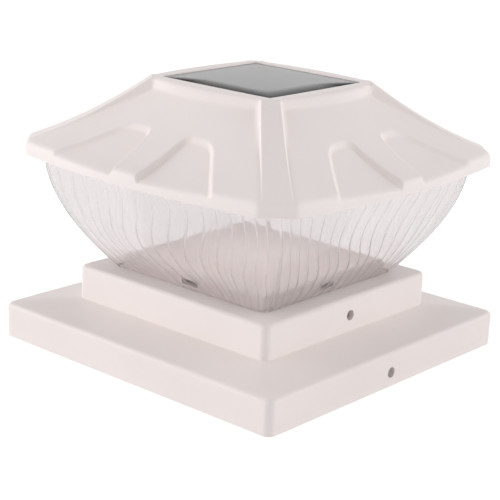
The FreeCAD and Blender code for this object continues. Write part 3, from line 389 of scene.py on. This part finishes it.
def hood_rows():
    """Outlines of the hood from the middle of its underside round the rim to its pocket:
    (kind, station), or ("corner", station, before, after, part_way) on a rounded edge."""
    rim = sizes().rim_round / MM
    rim_back, rim_on = rim / (RIM_TOP - RIM_FOOT), rim / (RIM[0] - FRAME[0])
    rows = [("lining", s) for s in (0, 0.2, 0.4, 0.5, 0.55, 0.6, 0.65, 0.7, 0.8, 0.9, 1, 1.5, 2)]
    rows += [("corner", -1, 0.0, 0.12, f) for f in (0.15, 0.5, 1)]
    rows += [("skin", -0.6)]
    rows += [("corner", 0, rim_back, rim_on, f) for f in (0, 0.17, 0.33, 0.5, 0.67, 0.83, 1)]
    rows += [("skin", s) for s in spread(0.075, 0.51, 13)]
    rows += [("skin", s) for s in spread(0.51, 0.72, 14)]
    rows += [("skin", s) for s in spread(0.72, 0.95, 7)]
    rows += [("corner", 1, 0.025, 0.2, f) for f in (0, 0.25, 0.5, 0.75, 1)]
    rows += [("skin", s) for s in (1.4, 1.6)]
    rows += [("corner", 2, 0.3, 0.18, f) for f in (0, 0.2, 0.4, 0.6, 0.8, 1)]
    rows += [("skin", s) for s in (2.4, 2.7)]
    rows += [("corner", 3, 0.1, 0.15, f) for f in (0, 0.33, 0.67, 1)]
    rows += [("skin", 4)]
    return rows


def hood_ring(row):
    """A whole outline of the hood: each eighth is mirrored and turned to all four sides."""
    makers = {"lining": lambda c: hood_lining(c, row[1]), "skin": lambda c: hood_point(c, row[1]),
              "corner": lambda c: eased_corner(c, *row[1:])}
    eighth = [makers[row[0]](column) for column in hood_columns()]
    corner = makers[row[0]](("ridge", 1.0))
    ring = []
    for turn in range(4):
        rotate = Matrix.Rotation(math.radians(90 * turn), 3, "Z")
        quarter = ([Vector((p.x, -p.y, p.z)) for p in eighth]
                   + [Vector((corner.x, -corner.y, corner.z))]
                   + [Vector((p.y, -p.x, p.z)) for p in reversed(eighth[1:])])
        ring += [rotate @ p for p in quarter]
    return ring


# ---------------------------------------------------------------- the lens's form, millimetres

# levels: the flange stands on the bowl, and the hood's rim ends level with its foot
LENS_FOOT, LENS_TOP, FLANGE_TOP = cad_box("lens_shade")[0].z, RIM_FOOT, cad_box("lens_shade")[1].z
LENS_BASE, LENS_MOUTH, LENS_WALL = 90, 136.6, 1.2     # widths at its foot and top, its wall
BOWL_POWER = 1.85                 # how fast the bowl swells above its foot
FOOT_CORNER, TOP_CORNER, INSIDE_LESS = 5.2, 6.0, 1.3  # corner radii, and how much less inside
FLANGE_HALF, FLANGE_CORNER, FLANGE_BEVEL = cad_box("lens_shade")[1].x, 8.2, (0.2, 0.3)
OUTER_STEPS, INNER_STEPS = 40, 12

CORNER_CROWD = 0.3                # how much closer the ripples stand at the corners
BETWEEN_SHARE = 0.6               # height of the ripples between, as a share of the main ones
# waves of the ripples: (size in lanes, how fast they turn across and up the lens, start)
LONG_SWAY, SHORT_SWAY, COME_AND_GO = (2.8, 11, 34, 0.3), (0.85, 60, 15, 5.2), (5, 40, 20, 3.1)
# columns of the lens's mesh in a ripple's lane: (place in lanes, main ripple, ripple between)
LANE_COLUMNS = ((-0.14, 0, 0), (-0.07, 0.5, 0), (0, 1, 0), (0.07, 0.5, 0), (0.14, 0, 0),
                (0.38, 0, 0), (0.44, 0, 0.5), (0.5, 0, 1), (0.56, 0, 0.5), (0.62, 0, 0))

COVER_TOP, COVER_EDGE, COVER_DROP = 119.95, 12.0, 1.35    # level, width of its edge, its fall
COVER_CORNER, COVER_TURN = 1.4, 0.4       # radius of its corners, and its growth inwards
BED_CORNER, BED_GAP = 0.6, (0.1, 0.05)    # of the hollow over the cells: beside and above them
COVER_STEPS, COVER_CROWD, COVER_POWER = 8, 1.4, 2.2   # rows of its edge, and its section
BACK_SHARE, BACK_SPREAD = 0.08, 14        # fall of the back edges, and where it turns to that
FLAT_STEPS, CORNER_STEPS = 16, 4


def rounded_square(half, radius, height):
    """Outline with rounded corners, anticlockwise from the foot of the +X side."""
    flat = half - radius
    side = [Vector((half, y, height)) for y in spread(-flat, flat, FLAT_STEPS)]
    for angle in spread(0, math.radians(90), CORNER_STEPS):
        side.append(Vector((flat + radius * math.cos(angle), flat + radius * math.sin(angle),
                            height)))
    return [Matrix.Rotation(math.radians(90 * turn), 3, "Z") @ point
            for turn in range(4) for point in side]


def bowl_size(part_way):
    """Half width and corner radius of the bowl at a way up from its foot."""
    swell = 1 - (1 - part_way) ** BOWL_POWER
    radius = FOOT_CORNER + (TOP_CORNER - FOOT_CORNER) * part_way
    return (LENS_BASE + (LENS_MOUTH - LENS_BASE) * swell) / 2, radius


def bowl_height(part_way):
    return LENS_FOOT + (LENS_TOP - LENS_FOOT) * part_way


def lane_count():
    """Number of ripples round the lens, the same on each of its four sides."""
    return 4 * round(LENS_MOUTH * MM / sizes().ripple_spacing)


def lane_wave(phase, height, wave):
    """Smooth noise round the lens, to about half the wave's size either way."""
    size, across, climb, shift = wave
    angle = 2 * math.pi * phase / lane_count()
    reach = lane_count() * sizes().ripple_spacing / (2 * math.pi)
    place = Vector((reach * math.cos(angle) * across + shift,
                    reach * math.sin(angle) * across + shift, height * MM * climb + shift))
    return size * noise.noise(place) / 2


def ripple_columns(height):
    """(lane, share of the ripple's height) of the lens's columns at a level. The ripples sway
    sideways as they climb, and the ones between them come and go."""
    columns = []
    for number in range(lane_count()):
        for place, main, side in LANE_COLUMNS:
            phase = number + place
            lane = (phase + lane_wave(phase, height, LONG_SWAY)
                    + lane_wave(phase, height, SHORT_SWAY))
            some = min(max(lane_wave(phase, height, COME_AND_GO), 0), 1)
            columns.append((lane, main + BETWEEN_SHARE * side * some))
    return columns


def rippled_square(half, radius, height, relief=0.0):
    """Outline with rounded corners whose points follow the ripples, which stand out by relief."""
    flat = half - radius
    side = 2 * flat + radius * math.pi / 2
    corner = 1 - radius * math.pi / 4 / side
    ring = []
    for lane, share in ripple_columns(height):
        sides = lane * 4 / lane_count()
        sides -= CORNER_CROWD * math.sin(2 * math.pi * (sides - corner)) / (2 * math.pi)
        turn, part = divmod(sides, 1)
        along = part * side
        angle = max(along - 2 * flat, 0) / radius
        reach = radius + relief * share
        point = Vector((flat + reach * math.cos(angle),
                        min(along, 2 * flat) - flat + reach * math.sin(angle), height))
        ring.append(Matrix.Rotation(math.radians(90 * turn), 3, "Z") @ point)
    return ring


def lens_rings():
    """The lens's outside from its foot up, its flange, and its smooth inside down again."""
    relief = sizes().ripple_height / MM
    rings = []
    for step in range(OUTER_STEPS + 1):
        part_way = step / OUTER_STEPS
        rings.append(rippled_square(*bowl_size(part_way), bowl_height(part_way), relief))
    bevel_in, bevel_up = FLANGE_BEVEL
    for half, height in ((FLANGE_HALF - bevel_in, LENS_TOP), (FLANGE_HALF, LENS_TOP + bevel_up),
                         (FLANGE_HALF, FLANGE_TOP - bevel_up),
                         (FLANGE_HALF - bevel_in, FLANGE_TOP)):
        rings.append(rippled_square(half, FLANGE_CORNER, height))
    levels = [(1, FLANGE_TOP)] + [(step / INNER_STEPS, bowl_height(step / INNER_STEPS))
                                  for step in range(INNER_STEPS, -1, -1)]
    for part_way, height in levels:
        half, radius = bowl_size(part_way)
        rings.append(rippled_square(half - LENS_WALL, radius - INSIDE_LESS, height))
    return rings


def cover_rings():
    """Cast panel cover: hollow over the cells, its top sunk along the two front edges."""
    low, high = cad_box("solar_cover")
    bed = cad_box("solar_cells")[1]
    beside, above = BED_GAP
    rings = [rounded_square(bed.x + beside, BED_CORNER, bed.z + above),
             rounded_square(bed.x + beside, BED_CORNER, low.z),
             rounded_square(high.x, COVER_CORNER, low.z)]
    for step in range(COVER_STEPS + 1):
        in_from_edge = COVER_EDGE * (step / COVER_STEPS) ** COVER_CROWD
        drop = COVER_DROP * (1 - in_from_edge / COVER_EDGE) ** COVER_POWER
        radius = COVER_CORNER + in_from_edge * COVER_TURN
        ring = rounded_square(high.x - in_from_edge, radius, COVER_TOP)
        for point in ring:
            front = ease((point.x - point.y) / BACK_SPREAD)
            point.z -= drop * (BACK_SHARE + (1 - BACK_SHARE) * front)
        rings.append(ring)
    return rings


def mark_ripples(lens, columns):
    """Stores on each point of the lens how much of a ripple stands there."""
    ripple = lens.data.attributes.new("ripple", "FLOAT", "POINT")
    for step in range(OUTER_STEPS + 1):
        for place, (_, share) in enumerate(ripple_columns(bowl_height(step / OUTER_STEPS))):
            ripple.data[step * columns + place].value = share


# ---------------------------------------------------------------- shader helpers

def feed(tree, socket, value):
    """Links another socket to a socket, or sets it to a plain value."""
    if isinstance(value, bpy.types.NodeSocket):
        tree.links.new(value, socket)
    else:
        socket.default_value = value


def feed_named(tree, node, values):
    """Feeds a node's inputs by name, with _ for a space."""
    for name, value in values.items():
        feed(tree, node.inputs[name.replace("_", " ")], value)


def add_node(tree, kind, **values):
    made = tree.nodes.new(kind)
    feed_named(tree, made, values)
    return made


def maths(tree, operation, *values):
    made = tree.nodes.new("ShaderNodeMath")
    made.operation = operation
    for socket, value in zip(made.inputs, values):
        feed(tree, socket, value)
    return made.outputs[0]


def mix_colour(tree, factor, first, second):
    made = tree.nodes.new("ShaderNodeMix")
    made.data_type = "RGBA"
    # a Mix node's colours are its seventh and eighth inputs and its third output
    for place, value in ((0, factor), (6, first), (7, second)):
        feed(tree, made.inputs[place], value)
    return made.outputs[2]


def ramp(tree, factor, stops):
    made = add_node(tree, "ShaderNodeValToRGB", Fac=factor)
    steps = made.color_ramp.elements
    while len(steps) < len(stops):
        steps.new(0.5)
    for step, (place, colour) in zip(steps, stops):
        step.position, step.color = place, colour
    return made.outputs["Color"]


def grey(value):
    return (value, value, value, 1)


def solid(colour):
    return (*colour, 1)


def effect(name, inputs, outputs):
    """A new shader node group with named sockets; inputs maps a name to (type, default)."""
    tree = bpy.data.node_groups.new(name, "ShaderNodeTree")
    for label, (kind, default) in inputs.items():
        socket = tree.interface.new_socket(label, in_out="INPUT", socket_type=kind)
        socket.default_value = default
    for label, kind in outputs.items():
        tree.interface.new_socket(label, in_out="OUTPUT", socket_type=kind)
    entry = tree.nodes.new("NodeGroupInput")
    leave = tree.nodes.new("NodeGroupOutput")
    return tree, entry.outputs, leave.inputs


def moulded_skin():
    """Group: faint clouding and fine sparkle of an injection moulded surface."""
    tree, entry, leave = effect(
        "moulded_skin",
        {"Color": ("NodeSocketColor", grey(0.8)), "Shade": ("NodeSocketColor", grey(0.7)),
         "Grain": ("NodeSocketFloat", 1400.0), "Roughness": ("NodeSocketFloat", 0.4)},
        {"Color": "NodeSocketColor", "Roughness": "NodeSocketFloat",
         "Height": "NodeSocketFloat"})
    place = tree.nodes.new("ShaderNodeTexCoord").outputs["Object"]
    cloud = add_node(tree, "ShaderNodeTexNoise", Vector=place, Scale=16.0, Detail=3.0)
    grain = add_node(tree, "ShaderNodeTexNoise", Vector=place, Scale=entry["Grain"], Detail=1.0)
    speck = add_node(tree, "ShaderNodeTexNoise", Vector=place, Scale=260.0, Detail=2.0)
    patch = ramp(tree, cloud.outputs["Fac"], [(0.35, grey(0)), (0.7, grey(1))])
    tree.links.new(mix_colour(tree, patch, entry["Color"], entry["Shade"]), leave["Color"])
    uneven = maths(tree, "MULTIPLY", maths(tree, "SUBTRACT", speck.outputs["Fac"], 0.5), 0.14)
    tree.links.new(maths(tree, "ADD", entry["Roughness"], uneven), leave["Roughness"])
    tree.links.new(grain.outputs["Fac"], leave["Height"])


def brushed_metal():
    """Group: streaked metal, lighter and darker along one direction."""
    tree, entry, leave = effect(
        "brushed_metal",
        {"Color": ("NodeSocketColor", grey(0.6)), "Roughness": ("NodeSocketFloat", 0.3)},
        {"Color": "NodeSocketColor", "Roughness": "NodeSocketFloat",
         "Height": "NodeSocketFloat"})
    place = tree.nodes.new("ShaderNodeTexCoord").outputs["Object"]
    run = add_node(tree, "ShaderNodeMapping", Vector=place)
    run.inputs["Scale"].default_value = (200, 3000, 3000)
    streak = add_node(tree, "ShaderNodeTexNoise", Vector=run.outputs[0], Scale=1.0, Detail=3.0)
    dark = add_node(tree, "ShaderNodeHueSaturation", Color=entry["Color"], Value=0.72)
    tree.links.new(mix_colour(tree, streak.outputs["Fac"], dark.outputs[0], entry["Color"]),
                   leave["Color"])
    uneven = maths(tree, "MULTIPLY", maths(tree, "SUBTRACT", streak.outputs["Fac"], 0.5), 0.2)
    tree.links.new(maths(tree, "ADD", entry["Roughness"], uneven), leave["Roughness"])
    tree.links.new(streak.outputs["Fac"], leave["Height"])


def use_group(tree, group_name, **values):
    made = tree.nodes.new("ShaderNodeGroup")
    made.node_tree = bpy.data.node_groups[group_name]
    feed_named(tree, made, values)
    return made


def new_material(name):
    """A material with a Principled shader: (material, tree, shader)."""
    made = bpy.data.materials.new(name)
    made.use_nodes = True
    tree = made.node_tree
    return made, tree, tree.nodes["Principled BSDF"]


def bump(tree, shader, height, depth):
    made = add_node(tree, "ShaderNodeBump", Height=height, Distance=depth, Strength=1.0)
    tree.links.new(made.outputs[0], shader.inputs["Normal"])


def wear(tree, shader, skin, depth):
    """Gives a shader the colour, roughness and relief that a group puts out."""
    feed_named(tree, shader, {"Base_Color": skin.outputs["Color"],
                              "Roughness": skin.outputs["Roughness"]})
    bump(tree, shader, skin.outputs["Height"], depth)


def moulded(name, colour, shade=0.965, roughness=0.4, grain=1400.0, depth=0.00003, **fixed):
    """Moulded plastic with its clouding and grain from the shared group; fixed names more of
    the shader's inputs."""
    made, tree, shader = new_material(name)
    skin = use_group(tree, "moulded_skin", Color=solid(colour),
                     Shade=solid([c * shade for c in colour]),
                     Grain=grain, Roughness=roughness)
    wear(tree, shader, skin, depth)
    feed_named(tree, shader, fixed)
    return made


def metal(name, colour, roughness=0.3):
    made, tree, shader = new_material(name)
    skin = use_group(tree, "brushed_metal", Color=solid(colour), Roughness=roughness)
    wear(tree, shader, skin, 0.00002)
    shader.inputs["Metallic"].default_value = 1.0
    return made


# ---------------------------------------------------------------- finishes

CREST_FROST, LENS_PASS = 0.38, 0.98       # roughness of the crests, light that gets through
FINGERS, FINGER_WIDTH = 480.0, 0.1        # silver lines per metre, and their share of the room
BARS, BAR_WIDTH = 136.0, 0.05             # the same across them, half of the share
SILVER_SHARE = 0.3                        # how much of the silver shows


def make_lens_finish():
    """Clear plastic, frosted a little along the crests of its ripples. It casts hardly any
    shadow, so that light reaches what stands behind it."""
    made, tree, shader = new_material("clear_rippled_lens")
    place = tree.nodes.new("ShaderNodeTexCoord").outputs["Object"]
    ripple = tree.nodes.new("ShaderNodeAttribute")
    ripple.attribute_name = "ripple"
    frost = add_node(tree, "ShaderNodeTexNoise", Scale=420.0, Detail=2.0, Vector=place)
    gloss = maths(tree, "ADD", maths(tree, "MULTIPLY", frost.outputs["Fac"], 0.03), 0.01)
    crest = maths(tree, "MULTIPLY", ripple.outputs["Fac"], CREST_FROST)
    shade = tree.nodes.new("ShaderNodeLightPath").outputs["Is Shadow Ray"]
    opaque = maths(tree, "SUBTRACT", 1.0, maths(tree, "MULTIPLY", shade, LENS_PASS))
    feed_named(tree, shader, {"Base_Color": solid(colours().lens), "Alpha": opaque,
                              "Roughness": maths(tree, "ADD", gloss, crest),
                              "Transmission_Weight": 1.0, "IOR": 1.49})
    return made


def make_cell_finish():
    """Dark silicon with fine silver fingers across it and two bus bars along it."""
    made, tree, shader = new_material("solar_silicon")
    place = tree.nodes.new("ShaderNodeTexCoord").outputs["Object"]
    split = add_node(tree, "ShaderNodeSeparateXYZ", Vector=place)
    across = maths(tree, "FRACT", maths(tree, "MULTIPLY", split.outputs["Y"], FINGERS))
    along = maths(tree, "FRACT", maths(tree, "MULTIPLY", split.outputs["X"], BARS))
    from_bar = maths(tree, "ABSOLUTE", maths(tree, "SUBTRACT", along, 0.5))
    silver = maths(tree, "MAXIMUM", maths(tree, "LESS_THAN", across, FINGER_WIDTH),
                   maths(tree, "LESS_THAN", from_bar, BAR_WIDTH))
    cloud = add_node(tree, "ShaderNodeTexNoise", Vector=place, Scale=90.0, Detail=4.0)
    deep = mix_colour(tree, cloud.outputs["Fac"], solid(colours().cell),
                      solid([c * 1.9 for c in colours().cell]))
    shine = maths(tree, "MULTIPLY", silver, SILVER_SHARE)
    uneven = maths(tree, "MULTIPLY", cloud.outputs["Fac"], 0.1)
    feed_named(tree, shader, {"Base_Color": mix_colour(tree, shine, deep, grey(0.12)),
                              "Roughness": maths(tree, "ADD", uneven, 0.25)})
    return made


def make_cover_finish():
    """Cast resin over the cells, smoky, faintly wavy and a little dusty."""
    made, tree, shader = new_material("panel_cover_resin")
    place = tree.nodes.new("ShaderNodeTexCoord").outputs["Object"]
    wave = add_node(tree, "ShaderNodeTexNoise", Vector=place, Scale=34.0, Detail=1.0)
    dust = add_node(tree, "ShaderNodeTexNoise", Vector=place, Scale=700.0, Detail=3.0)
    smoke = mix_colour(tree, dust.outputs["Fac"], solid((0.35, 0.32, 0.32)),
                       solid((0.41, 0.37, 0.37)))
    uneven = maths(tree, "MULTIPLY", dust.outputs["Fac"], 0.05)
    bump(tree, shader, wave.outputs["Fac"], 0.0001)
    feed_named(tree, shader, {"Base_Color": smoke, "Roughness": maths(tree, "ADD", uneven, 0.03),
                              "Transmission_Weight": 1.0, "IOR": 1.5})
    return made


def make_finishes():
    """The CAD nodes' finishes, each with the CAD nodes that wear it."""
    moulded_skin()
    brushed_metal()
    return [
        (moulded("white_moulding", colours().plastic, roughness=0.42),
         ("post_adapter_tray", "post_collar")),
        (moulded("reflector_moulding", (0.95, 0.94, 0.93), roughness=0.3),
         ("reflector_pan", "battery_door")),
        (moulded("gasket_foam", (0.72, 0.71, 0.7), shade=0.8, roughness=0.9, grain=2600.0,
                 depth=0.0003), ("lens_gasket",)),
        (moulded("sealant_bead", (0.82, 0.8, 0.78), shade=0.9, roughness=0.5),
         ("panel_sealant",)),
        (moulded("panel_back_board", (0.02, 0.022, 0.026), shade=0.8, roughness=0.45),
         ("solar_board",)),
        (make_cell_finish(), ("solar_cells",)),
        (make_cover_finish(), ("solar_cover",)),
        (moulded("lead_sleeve", (0.5, 0.02, 0.015), roughness=0.5),
         ("panel_leads", "led_leads")),
        (metal("screw_zinc", (0.62, 0.6, 0.56)),
         ("pan_screws", "battery_door_screws", "control_board_screws")),
        (moulded("light_board_lacquer", (0.82, 0.82, 0.8), roughness=0.35), ("led_board",)),
        (moulded("diode_phosphor", (0.8, 0.62, 0.12), roughness=0.3), ("leds",)),
        # painted glow: the diffuser emits a faint bluish white light though the light is not
        # switched on, to brighten the floor inside the lens
        (moulded("frosted_diffuser_painted_glow", (0.92, 0.92, 0.92), roughness=0.35,
                 Transmission_Weight=0.35, IOR=1.49, Emission_Strength=0.42,
                 Emission_Color=solid((0.93, 0.98, 0.98))), ("led_diffuser",)),
        (moulded("cell_sleeve", (0.03, 0.16, 0.06), roughness=0.3), ("battery",)),
        (metal("contact_plate", (0.7, 0.68, 0.62), 0.22),
         ("battery_plate_contact", "battery_spring_contact")),
        (moulded("control_lacquer", colours().board, shade=0.7, roughness=0.3),
         ("control_board",)),
        (moulded("component_epoxy", (0.015, 0.015, 0.016), shade=0.7, roughness=0.45),
         ("control_parts",)),
        (moulded("switch_moulding", (0.02, 0.02, 0.02), shade=0.7, roughness=0.5),
         ("switch_housing", "switch_slider")),
    ]


# ---------------------------------------------------------------- operators

class PostLightFinishes(bpy.types.Operator):
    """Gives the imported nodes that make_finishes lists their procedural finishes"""
    bl_idname = "post_light.finishes"
    bl_label = "Finishes"

    def execute(self, context):
        for material, nodes in make_finishes():
            for name in nodes:
                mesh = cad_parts[name].data
                mesh.materials.clear()
                mesh.materials.append(material)
        return {"FINISHED"}


class PostLightHood(bpy.types.Operator):
    """Models the flared hood with its corner ridges, sunk panels and panel frame"""
    bl_idname = "post_light.hood"
    bl_label = "Hood"

    def execute(self, context):
        hood = ring_piece("hood_moulding", [hood_ring(row) for row in hood_rows()],
                          close_ends=True)
        smooth(hood, degrees=50)
        hood.data.materials.append(bpy.data.materials["white_moulding"])
        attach(hood, "hood_unit")
        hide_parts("hood")
        return {"FINISHED"}


class PostLightLens(bpy.types.Operator):
    """Models the clear bowl with its swaying ripples and its flange"""
    bl_idname = "post_light.lens"
    bl_label = "Lens"

    def execute(self, context):
        rings = lens_rings()
        lens = ring_piece("rippled_lens", rings, close_loop=True)
        smooth(lens, degrees=40)
        mark_ripples(lens, len(rings[0]))
        lens.data.materials.append(make_lens_finish())
        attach(lens, "lamp_base")
        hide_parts("lens_shade")
        return {"FINISHED"}


class PostLightPanelCover(bpy.types.Operator):
    """Models the panel's cast cover, sunk along its two front edges"""
    bl_idname = "post_light.panel_cover"
    bl_label = "Panel cover"

    def execute(self, context):
        cover = ring_piece("cast_panel_cover", cover_rings(), close_ends=True)
        smooth(cover, degrees=40)
        cover.data.materials.append(bpy.data.materials["panel_cover_resin"])
        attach(cover, "hood_unit")
        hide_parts("solar_cover")
        return {"FINISHED"}


# ---------------------------------------------------------------- the stage, metres

# brightness of the tent's walls and top, and how strongly its opening and its back dim it
TENT_WALL, TENT_TOP, TENT_OPENING, TENT_BACK = 3.3, 0.565, 3.0, 0.78
WALL_POWER, OPENING_POWER = 2.0, 2.5      # how fast the walls dim upwards, the opening sideways
TENT_FRONT = (0.68, -0.73)                # level direction of the opening
CEILING_STOPS = ((0.2, 0.0), (0.52, 0.95))    # how dark gloss mirrors the tent, by height
CLEAR_DIM = 0.17                          # how much darker the tent is through the lens
SEEN_GLOW, CAMERA_GLOW = 0.11, 0.33       # the floor's, where seen, and more for the camera
SOFTBOX = (0.3, 0.24)
# name, place, what it points at, watts
LAMPS = (("left_softbox", (-0.42, -0.42, 0.15), (-0.03, -0.06, 0.06), 0.35),
         ("right_softbox", (0.44, 0.42, 0.15), (0.06, 0.03, 0.06), 0.05))
LENS_LENGTH, SENSOR_WIDTH, NEAREST = 105.245, 36.0, 0.01
CAMERA_PLACE = (0.410299, -0.478996, 0.231442)
CAMERA_BACK = (0.625659, -0.725281, 0.287259)     # from what it looks at
CAMERA_SIDE, CAMERA_ROLL = math.radians(40.78), math.radians(-2.46)


def area_light(name, place, target, power):
    lamp = bpy.data.lights.new(name, "AREA")
    lamp.shape = "RECTANGLE"
    lamp.size, lamp.size_y = SOFTBOX
    lamp.energy = power
    made = bpy.data.objects.new(name, lamp)
    bpy.context.scene.collection.objects.link(made)
    made.location = place
    made.rotation_euler = (Vector(target) - Vector(place)).to_track_quat("-Z", "Y").to_euler()


def pale_where_seen(tree, light_path):
    """1 for rays from the camera, mirrors and glass, 0 for rays that light the object."""
    seen = maths(tree, "MAXIMUM", light_path.outputs["Is Camera Ray"],
                 light_path.outputs["Is Glossy Ray"])
    seen = maths(tree, "MAXIMUM", seen, light_path.outputs["Is Transmission Ray"])
    direct = maths(tree, "LESS_THAN", light_path.outputs["Diffuse Depth"], 0.5)
    return maths(tree, "MULTIPLY", seen, direct)


def tent_level(tree, split):
    """Light of the white tent by direction: bright walls, a dimmer top and back, and least
    from the side where the camera looks in."""
    low = maths(tree, "SUBTRACT", 1.0, maths(tree, "MAXIMUM", split.outputs["Z"], 0.0))
    wall = maths(tree, "MULTIPLY", maths(tree, "POWER", low, WALL_POWER), TENT_WALL)
    front = maths(tree, "ADD", maths(tree, "MULTIPLY", split.outputs["X"], TENT_FRONT[0]),
                  maths(tree, "MULTIPLY", split.outputs["Y"], TENT_FRONT[1]))
    opening = maths(tree, "POWER", maths(tree, "MAXIMUM", front, 0.0), OPENING_POWER)
    behind = maths(tree, "MAXIMUM", maths(tree, "MULTIPLY", front, -TENT_BACK), 0.0)
    closed = maths(tree, "SUBTRACT", maths(tree, "SUBTRACT", 1.0, behind),
                   maths(tree, "MULTIPLY", opening, TENT_OPENING))
    lit = maths(tree, "MULTIPLY", wall, maths(tree, "MAXIMUM", closed, 0.0))
    return maths(tree, "ADD", TENT_TOP, lit)


def lay_floor(context):
    bpy.ops.mesh.primitive_plane_add(size=sizes().floor_width)
    floor = context.object
    floor.name = "floor"
    floor.location.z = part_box("post_adapter_tray")[0].z
    bpy.ops.object.transform_apply(location=True)
    material, tree, shader = new_material("pale_floor")
    path = tree.nodes.new("ShaderNodeLightPath")
    seen = maths(tree, "MULTIPLY", pale_where_seen(tree, path), SEEN_GLOW)
    more = maths(tree, "MULTIPLY", path.outputs["Is Camera Ray"], CAMERA_GLOW)
    feed_named(tree, shader, {"Base_Color": solid(colours().floor), "Roughness": 0.9,
                              "Specular_IOR_Level": 0.1, "Emission_Color": grey(1),
                              "Emission_Strength": maths(tree, "ADD", seen, more)})
    floor.data.materials.append(material)


def hang_tent(context):
    """White surroundings. What is seen of them is plain white, with a dark ceiling in gloss;
    what they light the object with is the tent's level."""
    world = context.scene.world or bpy.data.worlds.new("surroundings")
    context.scene.world = world
    world.use_nodes = True
    tree = world.node_tree
    tree.nodes.clear()
    path = tree.nodes.new("ShaderNodeLightPath")
    place = tree.nodes.new("ShaderNodeTexCoord").outputs["Generated"]
    split = add_node(tree, "ShaderNodeSeparateXYZ", Vector=place)
    seen, level = pale_where_seen(tree, path), tent_level(tree, split)
    ceiling = ramp(tree, split.outputs["Z"], [(way, grey(dark)) for way, dark in CEILING_STOPS])
    glossy = maths(tree, "MULTIPLY", path.outputs["Is Glossy Ray"], ceiling)
    clear = maths(tree, "MULTIPLY", path.outputs["Is Transmission Ray"], CLEAR_DIM)
    pale = maths(tree, "SUBTRACT", 1.0, maths(tree, "MAXIMUM", glossy, clear))
    change = maths(tree, "MULTIPLY", seen, maths(tree, "SUBTRACT", pale, level))
    sky = add_node(tree, "ShaderNodeBackground", Color=grey(1),
                   Strength=maths(tree, "ADD", level, change))
    add_node(tree, "ShaderNodeOutputWorld", Surface=sky.outputs[0])


def place_camera(context):
    """The camera stands where the photo's straight edges put it."""
    camera = bpy.data.cameras.new("camera")
    camera.lens, camera.sensor_width, camera.clip_start = LENS_LENGTH, SENSOR_WIDTH, NEAREST
    viewer = bpy.data.objects.new("camera", camera)
    context.scene.collection.objects.link(viewer)
    back = Vector(CAMERA_BACK).normalized()
    level = Vector((math.cos(CAMERA_SIDE), math.sin(CAMERA_SIDE), 0))
    right = level * math.cos(CAMERA_ROLL) - back.cross(level) * math.sin(CAMERA_ROLL)
    turn = Matrix((right, back.cross(right), back)).transposed()
    viewer.matrix_world = Matrix.Translation(CAMERA_PLACE) @ turn.to_4x4()
    context.scene.camera = viewer


class PostLightStage(bpy.types.Operator):
    """Sets the pale floor, the soft lamps, the white surroundings and the camera"""
    bl_idname = "post_light.stage"
    bl_label = "Stage"

    def execute(self, context):
        deselect()
        lay_floor(context)
        hang_tent(context)
        for lamp in LAMPS:
            area_light(*lamp)
        place_camera(context)
        context.scene.view_settings.view_transform = "Standard"
        return {"FINISHED"}


class PostLightPanel(bpy.types.Panel):
    """Lists the light's sizes, colours and making steps"""
    bl_idname = "VIEW3D_PT_post_light"
    bl_label = "Post light"
    bl_space_type = "VIEW_3D"
    bl_region_type = "UI"
    bl_category = "Post light"

    def draw(self, context):
        for group in (context.scene.post_light_sizes, context.scene.post_light_colours):
            for name in group.bl_rna.properties.keys():
                if name not in ("rna_type", "name"):
                    self.layout.prop(group, name)
        for step in STEPS:
            self.layout.operator(step.bl_idname)


STEPS = (PostLightStage, PostLightFinishes, PostLightHood, PostLightPanelCover, PostLightLens)
CLASSES = (PostLightSizes, PostLightColours, *STEPS, PostLightPanel)


def register():
    for kind in CLASSES:
        bpy.utils.register_class(kind)
    bpy.types.Scene.post_light_sizes = PointerProperty(type=PostLightSizes)
    bpy.types.Scene.post_light_colours = PointerProperty(type=PostLightColours)


def unregister():
    del bpy.types.Scene.post_light_colours
    del bpy.types.Scene.post_light_sizes
    for kind in reversed(CLASSES):
        bpy.utils.unregister_class(kind)


def main():
    register()
    bpy.ops.post_light.stage()
    bpy.ops.post_light.finishes()
    bpy.ops.post_light.hood()
    bpy.ops.post_light.panel_cover()
    bpy.ops.post_light.lens()
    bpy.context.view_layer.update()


if __name__ == "__main__":
    main()
